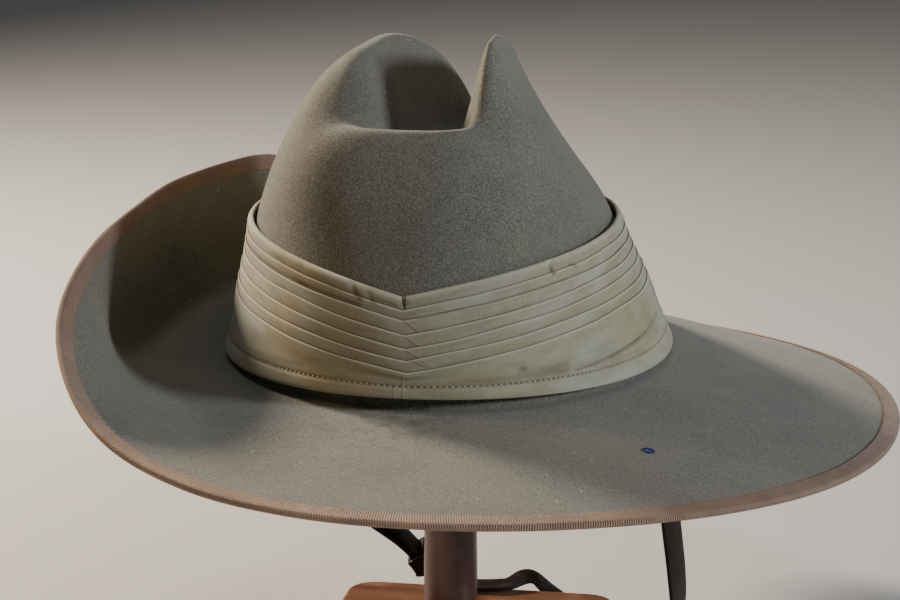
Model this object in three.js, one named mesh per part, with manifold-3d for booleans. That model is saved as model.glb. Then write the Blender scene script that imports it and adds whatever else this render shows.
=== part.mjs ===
// A felt slouch hat with a pleated cloth puggaree, a bound brim turned up at its left side, and a
// leather chin strap, on the plain wooden stand that carries it.
// Millimetres, +Z up. The front of the hat faces -Y. The origin lies under the post, on the
// underside of the stand's base.

import * as THREE from 'three';
import { mergeVertices } from 'three/addons/utils/BufferGeometryUtils.js';
import Module from 'manifold-3d';

// Felt: crown and brim are one piece
const CROWN_HALF_WIDTH = 84.5;
const CROWN_HALF_LENGTH = 101;
const CROWN_HEIGHT = 124;
const FELT = 1.7;
const BRIM_WIDTH = 97.5;
const DROOP_FRONT = 7.4;
const DROOP_SIDE = 14.6;
const DROOP_BACK = 20;

// Turn-up of the brim's left side: its angle, the shares of the brim's width where the bend starts
// and ends, and the first angle and the angle step of the table TURNED
const TURN_UP = 103.7;
const TURN_STARTS = 0.27;
const TURN_ENDS = 0.7;
const TURN_FROM = 60;
const TURN_STEP = 12;

// Ribbon folded over the edge of the brim
const BINDING_WIDTH = 6.6;
const BINDING = 0.6;

// Puggaree, the pleated cloth wound round the crown
const PUGGAREE_WALL = 1.8;
const PUGGAREE_TOP_FRONT = 41;
const PUGGAREE_TOP_BACK = 50;
const PUGGAREE_TOP_LEFT = 57;
const PUGGAREE_TOP_RIGHT = 53;
const PUGGAREE_FOOT_FRONT = 5;
const PUGGAREE_FOOT_SIDE = 1.2;
const PUGGAREE_FLARE = 2.6;
const PUGGAREE_STAND_OFF_LEFT = 0.7;
const PUGGAREE_STAND_OFF_RIGHT = 3.2;
const PUGGAREE_V_ANGLE = 2;
const PUGGAREE_LAY = 0.7;
const PLEAT_STEP = 0.7;
const HEM_LINE = 0.88;

// Eyelet in the brim: its half widths, its metal, and its place
const EYELET_FLANGE = 2.5;
const EYELET_BARREL = 1.4;
const EYELET_BORE = 0.9;
const EYELET_METAL = 0.4;
const EYELET_ANGLE = -48.3;
const EYELET_PLACE = 0.495;

// Chin strap, the slide that holds its doubled end, and the rivets in the crown
const STRAP_WIDTH = 12;
const STRAP = 1.8;
const STRAP_TOP = 25;
const STRAP_CLEAR = 1.3;
const TAIL_LENGTH = 62;
const TAIL_SPREAD = 5;
const SLIDE_WALL = 1.5;
const SLIDE_LENGTH = 10;
const SLIDE_CLEAR = 0.7;
const SLIDE_ABOVE = 8;
const RIVET_HEAD_HALF = 3.6;
const RIVET_HEAD = 1;
const RIVET_SHANK_HALF = 1.3;
const RIVET_HEIGHT = 17;
const ANCHOR_ANGLE = 7;

// Stand
const STAND_HEIGHT = 122;
const BASE_WIDTH = 115;
const BASE_DEPTH = 104;
const BASE_THICKNESS = 18;
const BASE_CORNER = 12;
const BASE_SHIFT = 5.5;
const POST_HALF = 10.9;
const HEAD_HALF = 30;
const HEAD_THICKNESS = 15;
const HEAD_ROUNDING = 6;

// Gap between neighbours, and the fineness of the round forms
const GAP = 0.3;
const COLUMNS = 60;
const BRIM_STEPS = 48;
const STRAP_STEPS = 5;
const SLIDE_STEPS = 3;
const POST_SIDES = 20;
const SMALL_SIDES = 12;

const RAD = Math.PI / 180;
const HAT_Z = BASE_THICKNESS + STAND_HEIGHT;
const ALONG = new THREE.Vector3(0, 1, 0);
const UP = new THREE.Vector3(0, 0, 1);

function table(columns, rows) {
  return rows.map((row) => Object.fromEntries(columns.map((name, i) => [name, row[i]])));
}

// Rings round the crown, from the brim over the ridges to the floor of the dent on top. wide and
// shift are shares of the crown's half width, long of its half length; side, front and back are
// heights, as shares of its height. spread widens a ring towards the front, taper narrows it
// towards the back, and slide moves its back end to the right. blunt and round are the squareness
// of its front and back ends.
const CROWN_RINGS = table(
  ['wide', 'long', 'side', 'front', 'back', 'shift', 'slide', 'spread', 'taper', 'blunt', 'round'],
  [
    [1, 1, 0, 0, 0, 0, 0, 0, 0, 2, 2],
    [0.935, 0.96, 0.2, 0.2, 0.2, -0.03, 0, 0, 0, 2, 2],
    [0.866, 0.906, 0.339, 0.339, 0.339, -0.052, 0, 0.03, 0.03, 2, 2],
    [0.791, 0.837, 0.484, 0.484, 0.468, -0.067, 0.012, 0.08, 0.08, 2.1, 2],
    [0.65, 0.762, 0.648, 0.629, 0.565, -0.091, 0.024, 0.143, 0.16, 2.4, 2.1],
    [0.516, 0.698, 0.8, 0.726, 0.637, -0.101, 0.036, 0.19, 0.3, 2.65, 2.2],
    [0.421, 0.655, 0.911, 0.77, 0.67, -0.094, 0.041, 0.2, 0.41, 2.9, 2.2],
    [0.353, 0.63, 0.97, 0.785, 0.68, -0.066, 0.043, 0.22, 0.53, 3.1, 2.3],
    [0.29, 0.603, 0.999, 0.785, 0.688, -0.044, 0.047, 0.27, 0.62, 3.2, 2.3],
    [0.229, 0.571, 0.946, 0.752, 0.674, -0.015, 0.036, 0.23, 0.624, 3.15, 2.3],
    [0.172, 0.53, 0.819, 0.702, 0.665, -0.002, 0.045, 0.2, 0.62, 2.9, 2.2],
    [0.1, 0.446, 0.694, 0.653, 0.649, 0, 0.036, 0.2, 0.4, 2.5, 2],
    [0.024, 0.337, 0.65, 0.645, 0.645, 0, 0, 0.1, 0.1, 2, 2],
  ],
);
// A ring climbs from its front height to its side height between two shares of the way from the
// middle to the side, and falls from there to its back height
const CLIMB_STARTS = 0.405;
const CLIMB_ENDS = 1.04;
const CLIMB_POWER = 1.7;
const FALL_POWER = 1.33;
const DENT_FLOOR = CROWN_HEIGHT * CROWN_RINGS.at(-1).front;

// How far the brim is turned up, at even steps of angle from the back over the left to the front
const TURNED = [
  0, 0, 0.036, 0.133, 0.329, 0.586, 0.823, 0.956, 1.006, 1.02,
  1.03, 1.008, 0.923, 0.751, 0.451, 0.202, 0.08, 0.027, 0.007, 0,
];
const turnCurve = new THREE.SplineCurve(TURNED.map((share, i) => new THREE.Vector2(i, share)));

// Where the felt has its rows: ring numbers on the crown, and shares of the brim's width
const CROWN_ROWS = [12, 11, 10, 9.5, 9, 8.5, 8, 7.5, 7, 6.5, 6, 5, 4, 3, 2, 1, 0];
const BRIM_ROWS = [0.25, 0.38, 0.5, 0.62, 0.74, 0.85, 1 - BINDING_WIDTH / BRIM_WIDTH, 1];

// Pleat lines of the puggaree, as shares of its height from the top, at the front and the sides
const PLEATS = table(
  ['front', 'side'],
  [
    [0.131, 0.105],
    [0.229, 0.2],
    [0.375, 0.305],
    [0.506, 0.405],
    [0.624, 0.515],
    [0.749, 0.635],
  ],
);

// The strap's free runs. The left one leads from its anchor to the top of the base behind the post,
// and the right one from the floor up to its anchor: share is the way along, and bow the distance
// to the right, as a share of the stand's height. The back run lies over the base's back edge
// and on the floor behind it: across is a share of the base's width, beyond is the distance
// behind the edge as a share of the strap's width, and level is 1 on the base and 0 on the floor.
const LEFT_RUN = table(
  ['share', 'bow'],
  [
    [0.2, -0.035],
    [0.45, -0.06],
    [0.68, -0.03],
    [0.82, 0.002],
    [0.92, 0.022],
  ],
);
const BACK_RUN = table(
  ['across', 'beyond', 'level', 'turn'],
  [
    [-0.13, -0.45, 1.1, 0],
    [0, -0.3, 1, 0],
    [0.13, -0.1, 1.02, 0],
    [0.21, 0.7, 1.03, 0],
    [0.29, 1.3, 0.55, 0],
    [0.41, 1.3, 0.05, 0],
    [0.56, 1.1, 0, 0],
    [0.69, 0.65, 0.02, -4],
    [0.77, 0.15, 0.2, -12],
  ],
);
const RIGHT_RUN = table(
  ['share', 'bow', 'turn'],
  [
    [0.08, 0.012, -22],
    [0.2, 0.016, -28],
    [0.4, 0.012, -30],
    [0.65, 0.01, -24],
    [0.85, 0.006, -12],
  ],
);

function smooth(value) {
  const x = THREE.MathUtils.clamp(value, 0, 1);
  return x * x * (3 - 2 * x);
}

// Angle of a column of the felt, counted from the front over the right side
function columnAngle(column) {
  return -Math.PI / 2 + (2 * Math.PI * column) / COLUMNS;
}

function ringPoint(ring, angle) {
  const c = Math.cos(angle);
  const s = Math.sin(angle);
  const square = s < 0 ? ring.blunt : ring.round;
  const across = Math.sign(c) * Math.abs(c) ** (2 / square);
  const along = Math.sign(s) * Math.abs(s) ** (2 / square);
  const end = s < 0 ? ring.front : ring.back;
  const climb = (Math.abs(c) - CLIMB_STARTS) / (CLIMB_ENDS - CLIMB_STARTS);
  const frontShare = smooth(Math.max(climb, 0) ** CLIMB_POWER);
  const sideShare = s < 0 ? frontShare : Math.abs(c) ** FALL_POWER;
  const narrowing = (ring.taper - ring.spread) * Math.max(along, 0) ** 2;
  const width = ring.wide * (1 - ring.spread * along - narrowing);
  return new THREE.Vector3(
    CROWN_HALF_WIDTH * (ring.shift + ring.slide * along + width * across),
    CROWN_HALF_LENGTH * ring.long * along,
    CROWN_HEIGHT * (ring.side * sideShare + end * (1 - sideShare)),
  );
}

function crownLine(angle) {
  const points = CROWN_RINGS.map((ring) => ringPoint(ring, angle));
  return new THREE.CatmullRomCurve3(points, false, 'centripetal');
}

// A point of the crown's outer surface at an angle and a ring number, which may be a fraction
function crownPoint(angle, ringNumber) {
  return crownLine(angle).getPoint(ringNumber / (CROWN_RINGS.length - 1));
}

// The brim along one angle, from the crown outwards: it droops, and turns up round the left side
function brimLine(angle) {
  const c = Math.cos(angle);
  const s = Math.sin(angle);
  const out = new THREE.Vector3(c / CROWN_HALF_WIDTH, s / CROWN_HALF_LENGTH, 0).normalize();
  const way = THREE.MathUtils.euclideanModulo(angle / RAD - TURN_FROM, 360) / TURN_STEP;
  const turned = turnCurve.getPoint(Math.min(way / (TURNED.length - 1), 1)).y;
  const end = s < 0 ? DROOP_FRONT : DROOP_BACK;
  const droop = end * s * s + DROOP_SIDE * c * c;
  const points = [crownPoint(angle, 0)];
  const step = BRIM_WIDTH / BRIM_STEPS;
  for (let i = 0; i < BRIM_STEPS; i++) {
    const place = (i + 0.5) / BRIM_STEPS;
    const lift = TURN_UP * smooth((place - TURN_STARTS) / (TURN_ENDS - TURN_STARTS));
    const slope = (lift * turned - droop * (1 - turned)) * RAD;
    const next = points[i].clone().addScaledVector(out, step * Math.cos(slope));
    points.push(next.addScaledVector(UP, step * Math.sin(slope)));
  }
  return points;
}

function brimPoint(angle, place) {
  const line = brimLine(angle);
  const at = place * BRIM_STEPS;
  const i = Math.min(Math.floor(at), BRIM_STEPS - 1);
  return line[i].clone().lerp(line[i + 1], at - i);
}

// A loop of points, one for each column
function loopOf(pointAt) {
  return Array.from({ length: COLUMNS }, (_, column) => pointAt(columnAngle(column)));
}

// Faces of the bands between neighbouring loops, each with the same number of points
function bandFaces(loopCount, size, isRing) {
  const faces = [];
  for (let row = 0; row < (isRing ? loopCount : loopCount - 1); row++) {
    const next = (row + 1) % loopCount;
    for (let i = 0; i < size; i++) {
      const j = (i + 1) % size;
      faces.push([row * size + i, next * size + j, row * size + j]);
      faces.push([row * size + i, next * size + i, next * size + j]);
    }
  }
  return faces;
}

// Faces that close a loop straight across, from its first point to the one opposite
function lidFaces(first, size, facesBack) {
  const half = size / 2;
  const corners = [[0, 1, size - 1]];
  for (let i = 1; i < half - 1; i++) {
    corners.push([i, size - i - 1, size - i], [i, i + 1, size - i - 1]);
  }
  corners.push([half - 1, half, half + 1]);
  const faces = corners.map((face) => face.map((corner) => first + corner));
  return facesBack ? faces.map((face) => face.toReversed()) : faces;
}

function volumeOf(points, faces) {
  const six = faces.map(([a, b, c]) => points[a].dot(points[b].clone().cross(points[c])));
  return six.reduce((sum, value) => sum + value, 0) / 6;
}

function geometryOf(points, faces) {
  const outward = volumeOf(points, faces) > 0 ? faces : faces.map(([a, b, c]) => [a, c, b]);
  const geometry = new THREE.BufferGeometry();
  const coordinates = points.flatMap((point) => point.toArray());
  geometry.setAttribute('position', new THREE.Float32BufferAttribute(coordinates, 3));
  geometry.setIndex(outward.flat());
  geometry.computeVertexNormals();
  return geometry;
}

// A closed body from a stack of loops: its two ends get lids, or a ring's ends meet
function stack(loops, isRing = false) {
  const size = loops[0].length;
  const faces = bandFaces(loops.length, size, isRing);
  if (!isRing) {
    faces.push(...lidFaces(0, size, false), ...lidFaces((loops.length - 1) * size, size, true));
  }
  return geometryOf(loops.flat(), faces);
}

// The loops of a skin's other side, a wall away. A corner moves further, so the wall keeps its
// thickness there.
function insideOf(loops, wall) {
  const size = loops[0].length;
  const points = loops.flat();
  const faces = [...bandFaces(loops.length, size, false), ...lidFaces(0, size, false)];
  const normals = faces.map(([a, b, c]) => {
    const ab = points[b].clone().sub(points[a]);
    return ab.cross(points[c].clone().sub(points[a]));
  });
  const sums = points.map(() => new THREE.Vector3());
  faces.forEach((face, i) => face.forEach((corner) => sums[corner].add(normals[i])));
  const areas = points.map(() => 0);
  const shares = points.map(() => 0);
  faces.forEach((face, i) => face.forEach((corner) => {
    areas[corner] += normals[i].length();
    shares[corner] += normals[i].dot(sums[corner]) / sums[corner].length();
  }));
  const moved = points.map((point, i) => {
    const reach = wall * Math.min(areas[i] / shares[i], 1.4);
    return point.clone().addScaledVector(sums[i].normalize(), -reach);
  });
  return loops.map((_, row) => moved.slice(row * size, (row + 1) * size));
}

// Solids for the holes that rivets and the eyelet pass through
const library = await Module();
library.setup();

function solidOf(geometry) {
  const bare = geometry.clone();
  bare.deleteAttribute('normal');
  bare.deleteAttribute('uv');
  const merged = mergeVertices(bare, 1e-4);
  const vertProperties = merged.getAttribute('position').array;
  const triVerts = new Uint32Array(merged.getIndex().array);
  return new library.Manifold(new library.Mesh({ numProp: 3, vertProperties, triVerts }));
}

function drilled(geometry, drills) {
  const solid = drills.reduce((rest, drill) => rest.subtract(solidOf(drill)), solidOf(geometry));
  const { vertProperties, triVerts } = solid.getMesh();
  const cut = new THREE.BufferGeometry();
  cut.setAttribute('position', new THREE.BufferAttribute(vertProperties, 3));
  cut.setIndex(new THREE.BufferAttribute(triVerts, 1));
  cut.computeVertexNormals();
  return cut;
}

// Turns a form whose axis is +Y so that the axis points along a normal, at a place
function seated(geometry, place, normal) {
  const turn = new THREE.Quaternion().setFromUnitVectors(ALONG, normal);
  return geometry.applyQuaternion(turn).translate(place.x, place.y, place.z);
}

// Outward normal of a surface that is given as a function of angle and place
function normalAt(surface, angle, place) {
  const step = 0.01;
  const round = surface(angle + step, place).sub(surface(angle - step, place));
  const along = surface(angle, place + step).sub(surface(angle, place - step));
  return round.cross(along).normalize();
}

// Ring number of the crown's outer surface at a height, on its way up
function ringAtHeight(angle, height) {
  let low = 0;
  let high = 5;
  for (let i = 0; i < 24; i++) {
    const middle = (low + high) / 2;
    if (crownPoint(angle, middle).z < height) low = middle;
    else high = middle;
  }
  return (low + high) / 2;
}

const feltOuter = [
  ...CROWN_ROWS.map((ringNumber) => loopOf((angle) => crownPoint(angle, ringNumber))),
  ...BRIM_ROWS.map((place) => loopOf((angle) => brimPoint(angle, place))),
];
const feltInner = insideOf(feltOuter, FELT);

// Eyelet: a spool through the brim, with a bore
const eyeletAngle = EYELET_ANGLE * RAD;
const eyeletNormal = normalAt(brimPoint, eyeletAngle, EYELET_PLACE).negate();
const eyeletPlace = brimPoint(eyeletAngle, EYELET_PLACE);

function makeEyelet() {
  const top = GAP + EYELET_METAL;
  const bottom = -FELT - GAP - EYELET_METAL;
  const outline = [
    [EYELET_BORE, bottom],
    [EYELET_FLANGE, bottom],
    [EYELET_FLANGE, bottom + EYELET_METAL],
    [EYELET_BARREL, bottom + EYELET_METAL],
    [EYELET_BARREL, top - EYELET_METAL],
    [EYELET_FLANGE, top - EYELET_METAL],
    [EYELET_FLANGE, top],
    [EYELET_BORE, top],
    [EYELET_BORE, bottom],
  ].map(([x, y]) => new THREE.Vector2(x, y));
  return seated(new THREE.LatheGeometry(outline, SMALL_SIDES), eyeletPlace, eyeletNormal);
}

// Anchors of the strap on the inside of the crown
function makeAnchor(angle) {
  const wallAt = (height) => crownPoint(angle, ringAtHeight(angle, height));
  const place = wallAt(RIVET_HEIGHT);
  const ringNumber = ringAtHeight(angle, RIVET_HEIGHT);
  const normal = normalAt(crownPoint, angle, ringNumber);
  const depth = FELT + STRAP_CLEAR + STRAP / 2;
  return { place, normal, strapAt: (height) => wallAt(height).addScaledVector(normal, -depth) };
}

// How far the crown's wall turns away from the hat's length at the anchors, in degrees
const wallTurn = Math.atan2(
  CROWN_HALF_WIDTH * Math.sin(ANCHOR_ANGLE * RAD),
  CROWN_HALF_LENGTH * Math.cos(ANCHOR_ANGLE * RAD),
) / RAD;
const leftAnchor = makeAnchor(Math.PI - ANCHOR_ANGLE * RAD);
const rightAnchor = makeAnchor(ANCHOR_ANGLE * RAD);

function makeRivet(anchor) {
  const headTop = -FELT - STRAP_CLEAR - STRAP - GAP;
  const outline = [
    [0, headTop - RIVET_HEAD],
    [RIVET_HEAD_HALF, headTop - RIVET_HEAD],
    [RIVET_HEAD_HALF, headTop],
    [RIVET_SHANK_HALF, headTop],
    [RIVET_SHANK_HALF, -GAP],
    [0, -GAP],
  ].map(([x, y]) => new THREE.Vector2(x, y));
  return seated(new THREE.LatheGeometry(outline, SMALL_SIDES), anchor.place, anchor.normal);
}

function drillFor(place, normal, half) {
  const length = 4 * (FELT + STRAP);
  return seated(new THREE.CylinderGeometry(half, half, length, SMALL_SIDES), place, normal);
}

const rivetDrills = [leftAnchor, rightAnchor].map((anchor) => (
  drillFor(anchor.place, anchor.normal, RIVET_SHANK_HALF + GAP)
));

function makeFelt() {
  const eyeletDrill = drillFor(eyeletPlace, eyeletNormal, EYELET_BARREL + GAP);
  return drilled(stack([...feltOuter, ...feltInner.toReversed()]), [eyeletDrill, ...rivetDrills]);
}

// Binding: a ribbon wrapped over the edge of the felt, on both its faces
function makeBinding() {
  const [topInner, topEdge] = feltOuter.slice(-2);
  const [underInner, underEdge] = feltInner.slice(-2);
  const loopAt = (felt, other, away, beyond) => felt.map((point, i) => {
    const outwards = topEdge[i].clone().sub(topInner[i]).normalize();
    const off = point.clone().sub(other[i]).normalize();
    return point.clone().addScaledVector(off, away).addScaledVector(outwards, beyond);
  });
  const cover = GAP + BINDING;
  return stack([
    loopAt(topInner, underInner, GAP, 0),
    loopAt(topEdge, underEdge, GAP, GAP),
    loopAt(underEdge, topEdge, GAP, GAP),
    loopAt(underInner, topInner, GAP, 0),
    loopAt(underInner, topInner, cover, 0),
    loopAt(underEdge, topEdge, cover, GAP),
    loopAt(underEdge, topEdge, 0, cover),
    loopAt(topEdge, underEdge, 0, cover),
    loopAt(topEdge, underEdge, cover, GAP),
    loopAt(topInner, underInner, cover, 0),
  ], true);
}

// How near an angle is to where the pleats meet at the front or the back: 1 there, 0 at the sides
function nearnessToEnd(angle) {
  const fromEnd = Math.acos(Math.abs(Math.sin(angle - PUGGAREE_V_ANGLE * RAD))) / (Math.PI / 2);
  return (1 - fromEnd) ** 2;
}

// A point of the puggaree, drop down from its top as a share of its height, and proud of its
// smooth outer face by a length. The top edge makes a V at the front, the cloth flares at its
// foot, and it stands off the crown at the sides.
function puggareePoint(angle, drop, proud) {
  const c = Math.cos(angle);
  const isFront = Math.sin(angle) < 0;
  const near = nearnessToEnd(angle);
  const sideTop = c < 0 ? PUGGAREE_TOP_LEFT : PUGGAREE_TOP_RIGHT;
  const top = THREE.MathUtils.lerp(sideTop, isFront ? PUGGAREE_TOP_FRONT : PUGGAREE_TOP_BACK, near);
  const foot = THREE.MathUtils.lerp(PUGGAREE_FOOT_FRONT, PUGGAREE_FOOT_SIDE, c * c);
  const height = THREE.MathUtils.lerp(top, foot, drop);
  const ringNumber = ringAtHeight(angle, height);
  const wall = crownPoint(angle, ringNumber);
  const out = normalAt(crownPoint, angle, Math.max(ringNumber, 0.02)).setZ(0).normalize();
  const flare = PUGGAREE_FLARE * drop ** 3;
  const sideStandOff = c < 0 ? PUGGAREE_STAND_OFF_LEFT : PUGGAREE_STAND_OFF_RIGHT;
  const standOff = sideStandOff * (1 - drop) ** 2 * c * c;
  const off = PUGGAREE_LAY + PUGGAREE_WALL + flare + standOff + proud;
  return wall.addScaledVector(out, off).setZ(height);
}

function makePuggaree() {
  const lip = 0.014;
  const pleatDrop = (pleat, angle) => (
    THREE.MathUtils.lerp(pleat.side, pleat.front, nearnessToEnd(angle))
  );
  const foldLoops = PLEATS.toReversed().flatMap((pleat) => [
    loopOf((angle) => puggareePoint(angle, pleatDrop(pleat, angle) + lip, 0)),
    loopOf((angle) => puggareePoint(angle, pleatDrop(pleat, angle) - lip, PLEAT_STEP)),
  ]);
  const plainLoop = (drop, proud) => loopOf((angle) => puggareePoint(angle, drop, proud));
  return stack([
    plainLoop(1, 0),
    plainLoop(HEM_LINE, 0),
    ...foldLoops,
    plainLoop(PLEATS[0].side / 3, PLEAT_STEP),
    plainLoop(0, -PUGGAREE_WALL / 3),
    plainLoop(0, -PUGGAREE_WALL),
    plainLoop(0.5, -PUGGAREE_WALL),
    plainLoop(1, -PUGGAREE_WALL),
  ], true);
}

// The strap's centre line, with the twist at each of its points
function backRunPoint({ across, beyond, level }) {
  const lie = STRAP / 2 + 3 * GAP;
  return new THREE.Vector3(
    BASE_WIDTH * across,
    BASE_DEPTH / 2 + STRAP_WIDTH * beyond,
    lie - HAT_Z + BASE_THICKNESS * level,
  );
}

function runPoint(start, end, { share, bow }) {
  const point = start.clone().lerp(end, share);
  point.x += STAND_HEIGHT * bow;
  return point;
}

const backPoints = BACK_RUN.map(backRunPoint);
const leftStart = leftAnchor.strapAt(GAP);
const rightEnd = rightAnchor.strapAt(GAP);
const landing = backPoints[0];
const rising = backPoints.at(-1);
const strapNodes = [
  { point: leftAnchor.strapAt(STRAP_TOP), turn: wallTurn },
  { point: leftAnchor.strapAt(RIVET_HEIGHT), turn: wallTurn },
  { point: leftStart, turn: wallTurn },
  ...LEFT_RUN.map((row) => ({ point: runPoint(leftStart, landing, row), turn: 0 })),
  ...BACK_RUN.map((row, i) => ({ point: backPoints[i], turn: row.turn })),
  ...RIGHT_RUN.map((row) => ({ point: runPoint(rising, rightEnd, row), turn: row.turn })),
  { point: rightEnd, turn: wallTurn },
  { point: rightAnchor.strapAt(RIVET_HEIGHT), turn: wallTurn },
  { point: rightAnchor.strapAt(STRAP_TOP), turn: wallTurn },
];
const strapPoints = strapNodes.map((node) => node.point);
const strapCurve = new THREE.CatmullRomCurve3(strapPoints, false, 'centripetal');
const landingShare = (3 + LEFT_RUN.length) / (strapNodes.length - 1);

// Place, direction, width direction and face direction of the strap, for a share of its nodes
function strapFrame(share) {
  const at = share * (strapNodes.length - 1);
  const i = Math.min(Math.floor(at), strapNodes.length - 2);
  const turn = THREE.MathUtils.lerp(strapNodes[i].turn, strapNodes[i + 1].turn, at - i) * RAD;
  const place = strapCurve.getPoint(share);
  const run = strapCurve.getTangent(share);
  const flat = ALONG.clone().addScaledVector(run, -ALONG.dot(run)).normalize();
  const side = flat.applyAxisAngle(run, turn);
  const face = run.clone().cross(side);
  return { place, run, side, face };
}

// A flat rectangle of four points across a strap's frame, moved off its face
function crossSection({ place, side, face }, width, thickness, off = 0) {
  const corners = [[-1, -1], [1, -1], [1, 1], [-1, 1]];
  return corners.map(([across, through]) => place.clone()
    .addScaledVector(side, (across * width) / 2)
    .addScaledVector(face, off + (through * thickness) / 2));
}

function makeStrap() {
  const count = STRAP_STEPS * (strapNodes.length - 1);
  const frames = Array.from({ length: count + 1 }, (_, i) => strapFrame(i / count));
  const sections = frames.map((frame) => crossSection(frame, STRAP_WIDTH, STRAP));
  return drilled(stack(sections), rivetDrills);
}

// Share of the strap's nodes that lies a length above the place where the strap lands
function shareAbove(length) {
  const step = 0.0005;
  let share = landingShare;
  for (let way = 0; way < length; share -= step) {
    way += strapCurve.getPoint(share).distanceTo(strapCurve.getPoint(share - step));
  }
  return share;
}

// The doubled end of the strap: it leaves the slide on the strap's outer face and spreads away
function makeTail() {
  const count = Math.ceil(SLIDE_STEPS * TAIL_LENGTH / SLIDE_LENGTH);
  const sections = Array.from({ length: count + 1 }, (_, i) => {
    const way = (TAIL_LENGTH * i) / count;
    const spread = TAIL_SPREAD * smooth((way - 1.3 * SLIDE_LENGTH) / (TAIL_LENGTH / 2));
    const frame = strapFrame(shareAbove(SLIDE_ABOVE - GAP + way));
    return crossSection(frame, STRAP_WIDTH, STRAP, -STRAP - SLIDE_CLEAR - spread);
  });
  return stack(sections);
}

function makeSlide() {
  const off = -(STRAP + SLIDE_CLEAR) / 2;
  const width = STRAP_WIDTH + 2 * SLIDE_CLEAR;
  const thickness = 2 * STRAP + 3 * SLIDE_CLEAR;
  const frames = Array.from({ length: SLIDE_STEPS + 1 }, (_, i) => (
    strapFrame(shareAbove(SLIDE_ABOVE + (SLIDE_LENGTH * i) / SLIDE_STEPS))
  ));
  const outer = frames.map((frame) => (
    crossSection(frame, width + 2 * SLIDE_WALL, thickness + 2 * SLIDE_WALL, off)
  ));
  const inner = frames.map((frame) => crossSection(frame, width, thickness, off));
  return stack([...outer, ...inner.toReversed()], true);
}

// Stand: a board with rounded corners, and a turned post whose flat head carries the dent
function makeBase() {
  const [x, y, r] = [BASE_WIDTH / 2, BASE_DEPTH / 2, BASE_CORNER];
  const outline = new THREE.Shape();
  outline.moveTo(-x + r, -y);
  outline.lineTo(x - r, -y);
  outline.absarc(x - r, -y + r, r, -Math.PI / 2, 0);
  outline.lineTo(x, y - r);
  outline.absarc(x - r, y - r, r, 0, Math.PI / 2);
  outline.lineTo(-x + r, y);
  outline.absarc(-x + r, y - r, r, Math.PI / 2, Math.PI);
  outline.lineTo(-x, -y + r);
  outline.absarc(-x + r, -y + r, r, Math.PI, 1.5 * Math.PI);
  const board = { depth: BASE_THICKNESS, bevelEnabled: false, curveSegments: 6 };
  return new THREE.ExtrudeGeometry(outline, board);
}

function makePost() {
  const top = HAT_Z + DENT_FLOOR - FELT - GAP;
  const roundingSteps = 4;
  const outline = [[0, BASE_THICKNESS + GAP], [POST_HALF, BASE_THICKNESS + GAP]];
  outline.push([POST_HALF, top - HEAD_THICKNESS], [HEAD_HALF, top - HEAD_THICKNESS]);
  for (let i = 0; i <= roundingSteps; i++) {
    const turn = (Math.PI / 2) * (i / roundingSteps);
    const half = HEAD_HALF - HEAD_ROUNDING * (1 - Math.cos(turn));
    outline.push([half, top - HEAD_ROUNDING * (1 - Math.sin(turn))]);
  }
  outline.push([0, top]);
  const points = outline.map(([x, y]) => new THREE.Vector2(x, y));
  return new THREE.LatheGeometry(points, POST_SIDES).rotateX(Math.PI / 2);
}

const felt = new THREE.MeshStandardMaterial({ color: 0x6f6d5e, roughness: 0.95 });
const ribbon = new THREE.MeshStandardMaterial({ color: 0xb59a82, roughness: 0.85 });
const cloth = new THREE.MeshStandardMaterial({ color: 0xa59e86, roughness: 0.9 });
const leather = new THREE.MeshStandardMaterial({ color: 0x241816, roughness: 0.5 });
const blueMetal = new THREE.MeshStandardMaterial({ color: 0x39437a, roughness: 0.45, metalness: 0.6 });
const steel = new THREE.MeshStandardMaterial({ color: 0x54504a, roughness: 0.5, metalness: 0.8 });
const wood = new THREE.MeshStandardMaterial({ color: 0x9a6a45, roughness: 0.6 });
const darkWood = new THREE.MeshStandardMaterial({ color: 0x5a3a2c, roughness: 0.5 });

function named(name, geometry, material) {
  const mesh = new THREE.Mesh(geometry, material);
  mesh.name = name;
  return mesh;
}

const hat = new THREE.Group();
hat.position.z = HAT_Z;
hat.add(named('felt_body', makeFelt(), felt));
hat.add(named('brim_binding', makeBinding(), ribbon));
hat.add(named('puggaree', makePuggaree(), cloth));
hat.add(named('brim_eyelet', makeEyelet(), blueMetal));
hat.add(named('chin_strap', makeStrap(), leather));
hat.add(named('strap_tail', makeTail(), leather));
hat.add(named('strap_slide', makeSlide(), leather));
hat.add(named('strap_rivet_left', makeRivet(leftAnchor), steel));
hat.add(named('strap_rivet_right', makeRivet(rightAnchor), steel));

const base = named('stand_base', makeBase(), wood);
base.position.x = BASE_SHIFT;

const model = new THREE.Group();
model.add(hat, base, named('stand_post', makePost(), darkWood));

export default model;
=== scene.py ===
# A felt slouch hat with a pleated puggaree and a bound brim, on its plain wooden stand.
# Sizes are in millimetres and become metres where a piece is placed. The front faces -Y.

import math
from collections import namedtuple

import bmesh
import bpy
import numpy as np
from mathutils import Matrix, Quaternion, Vector, noise


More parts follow.
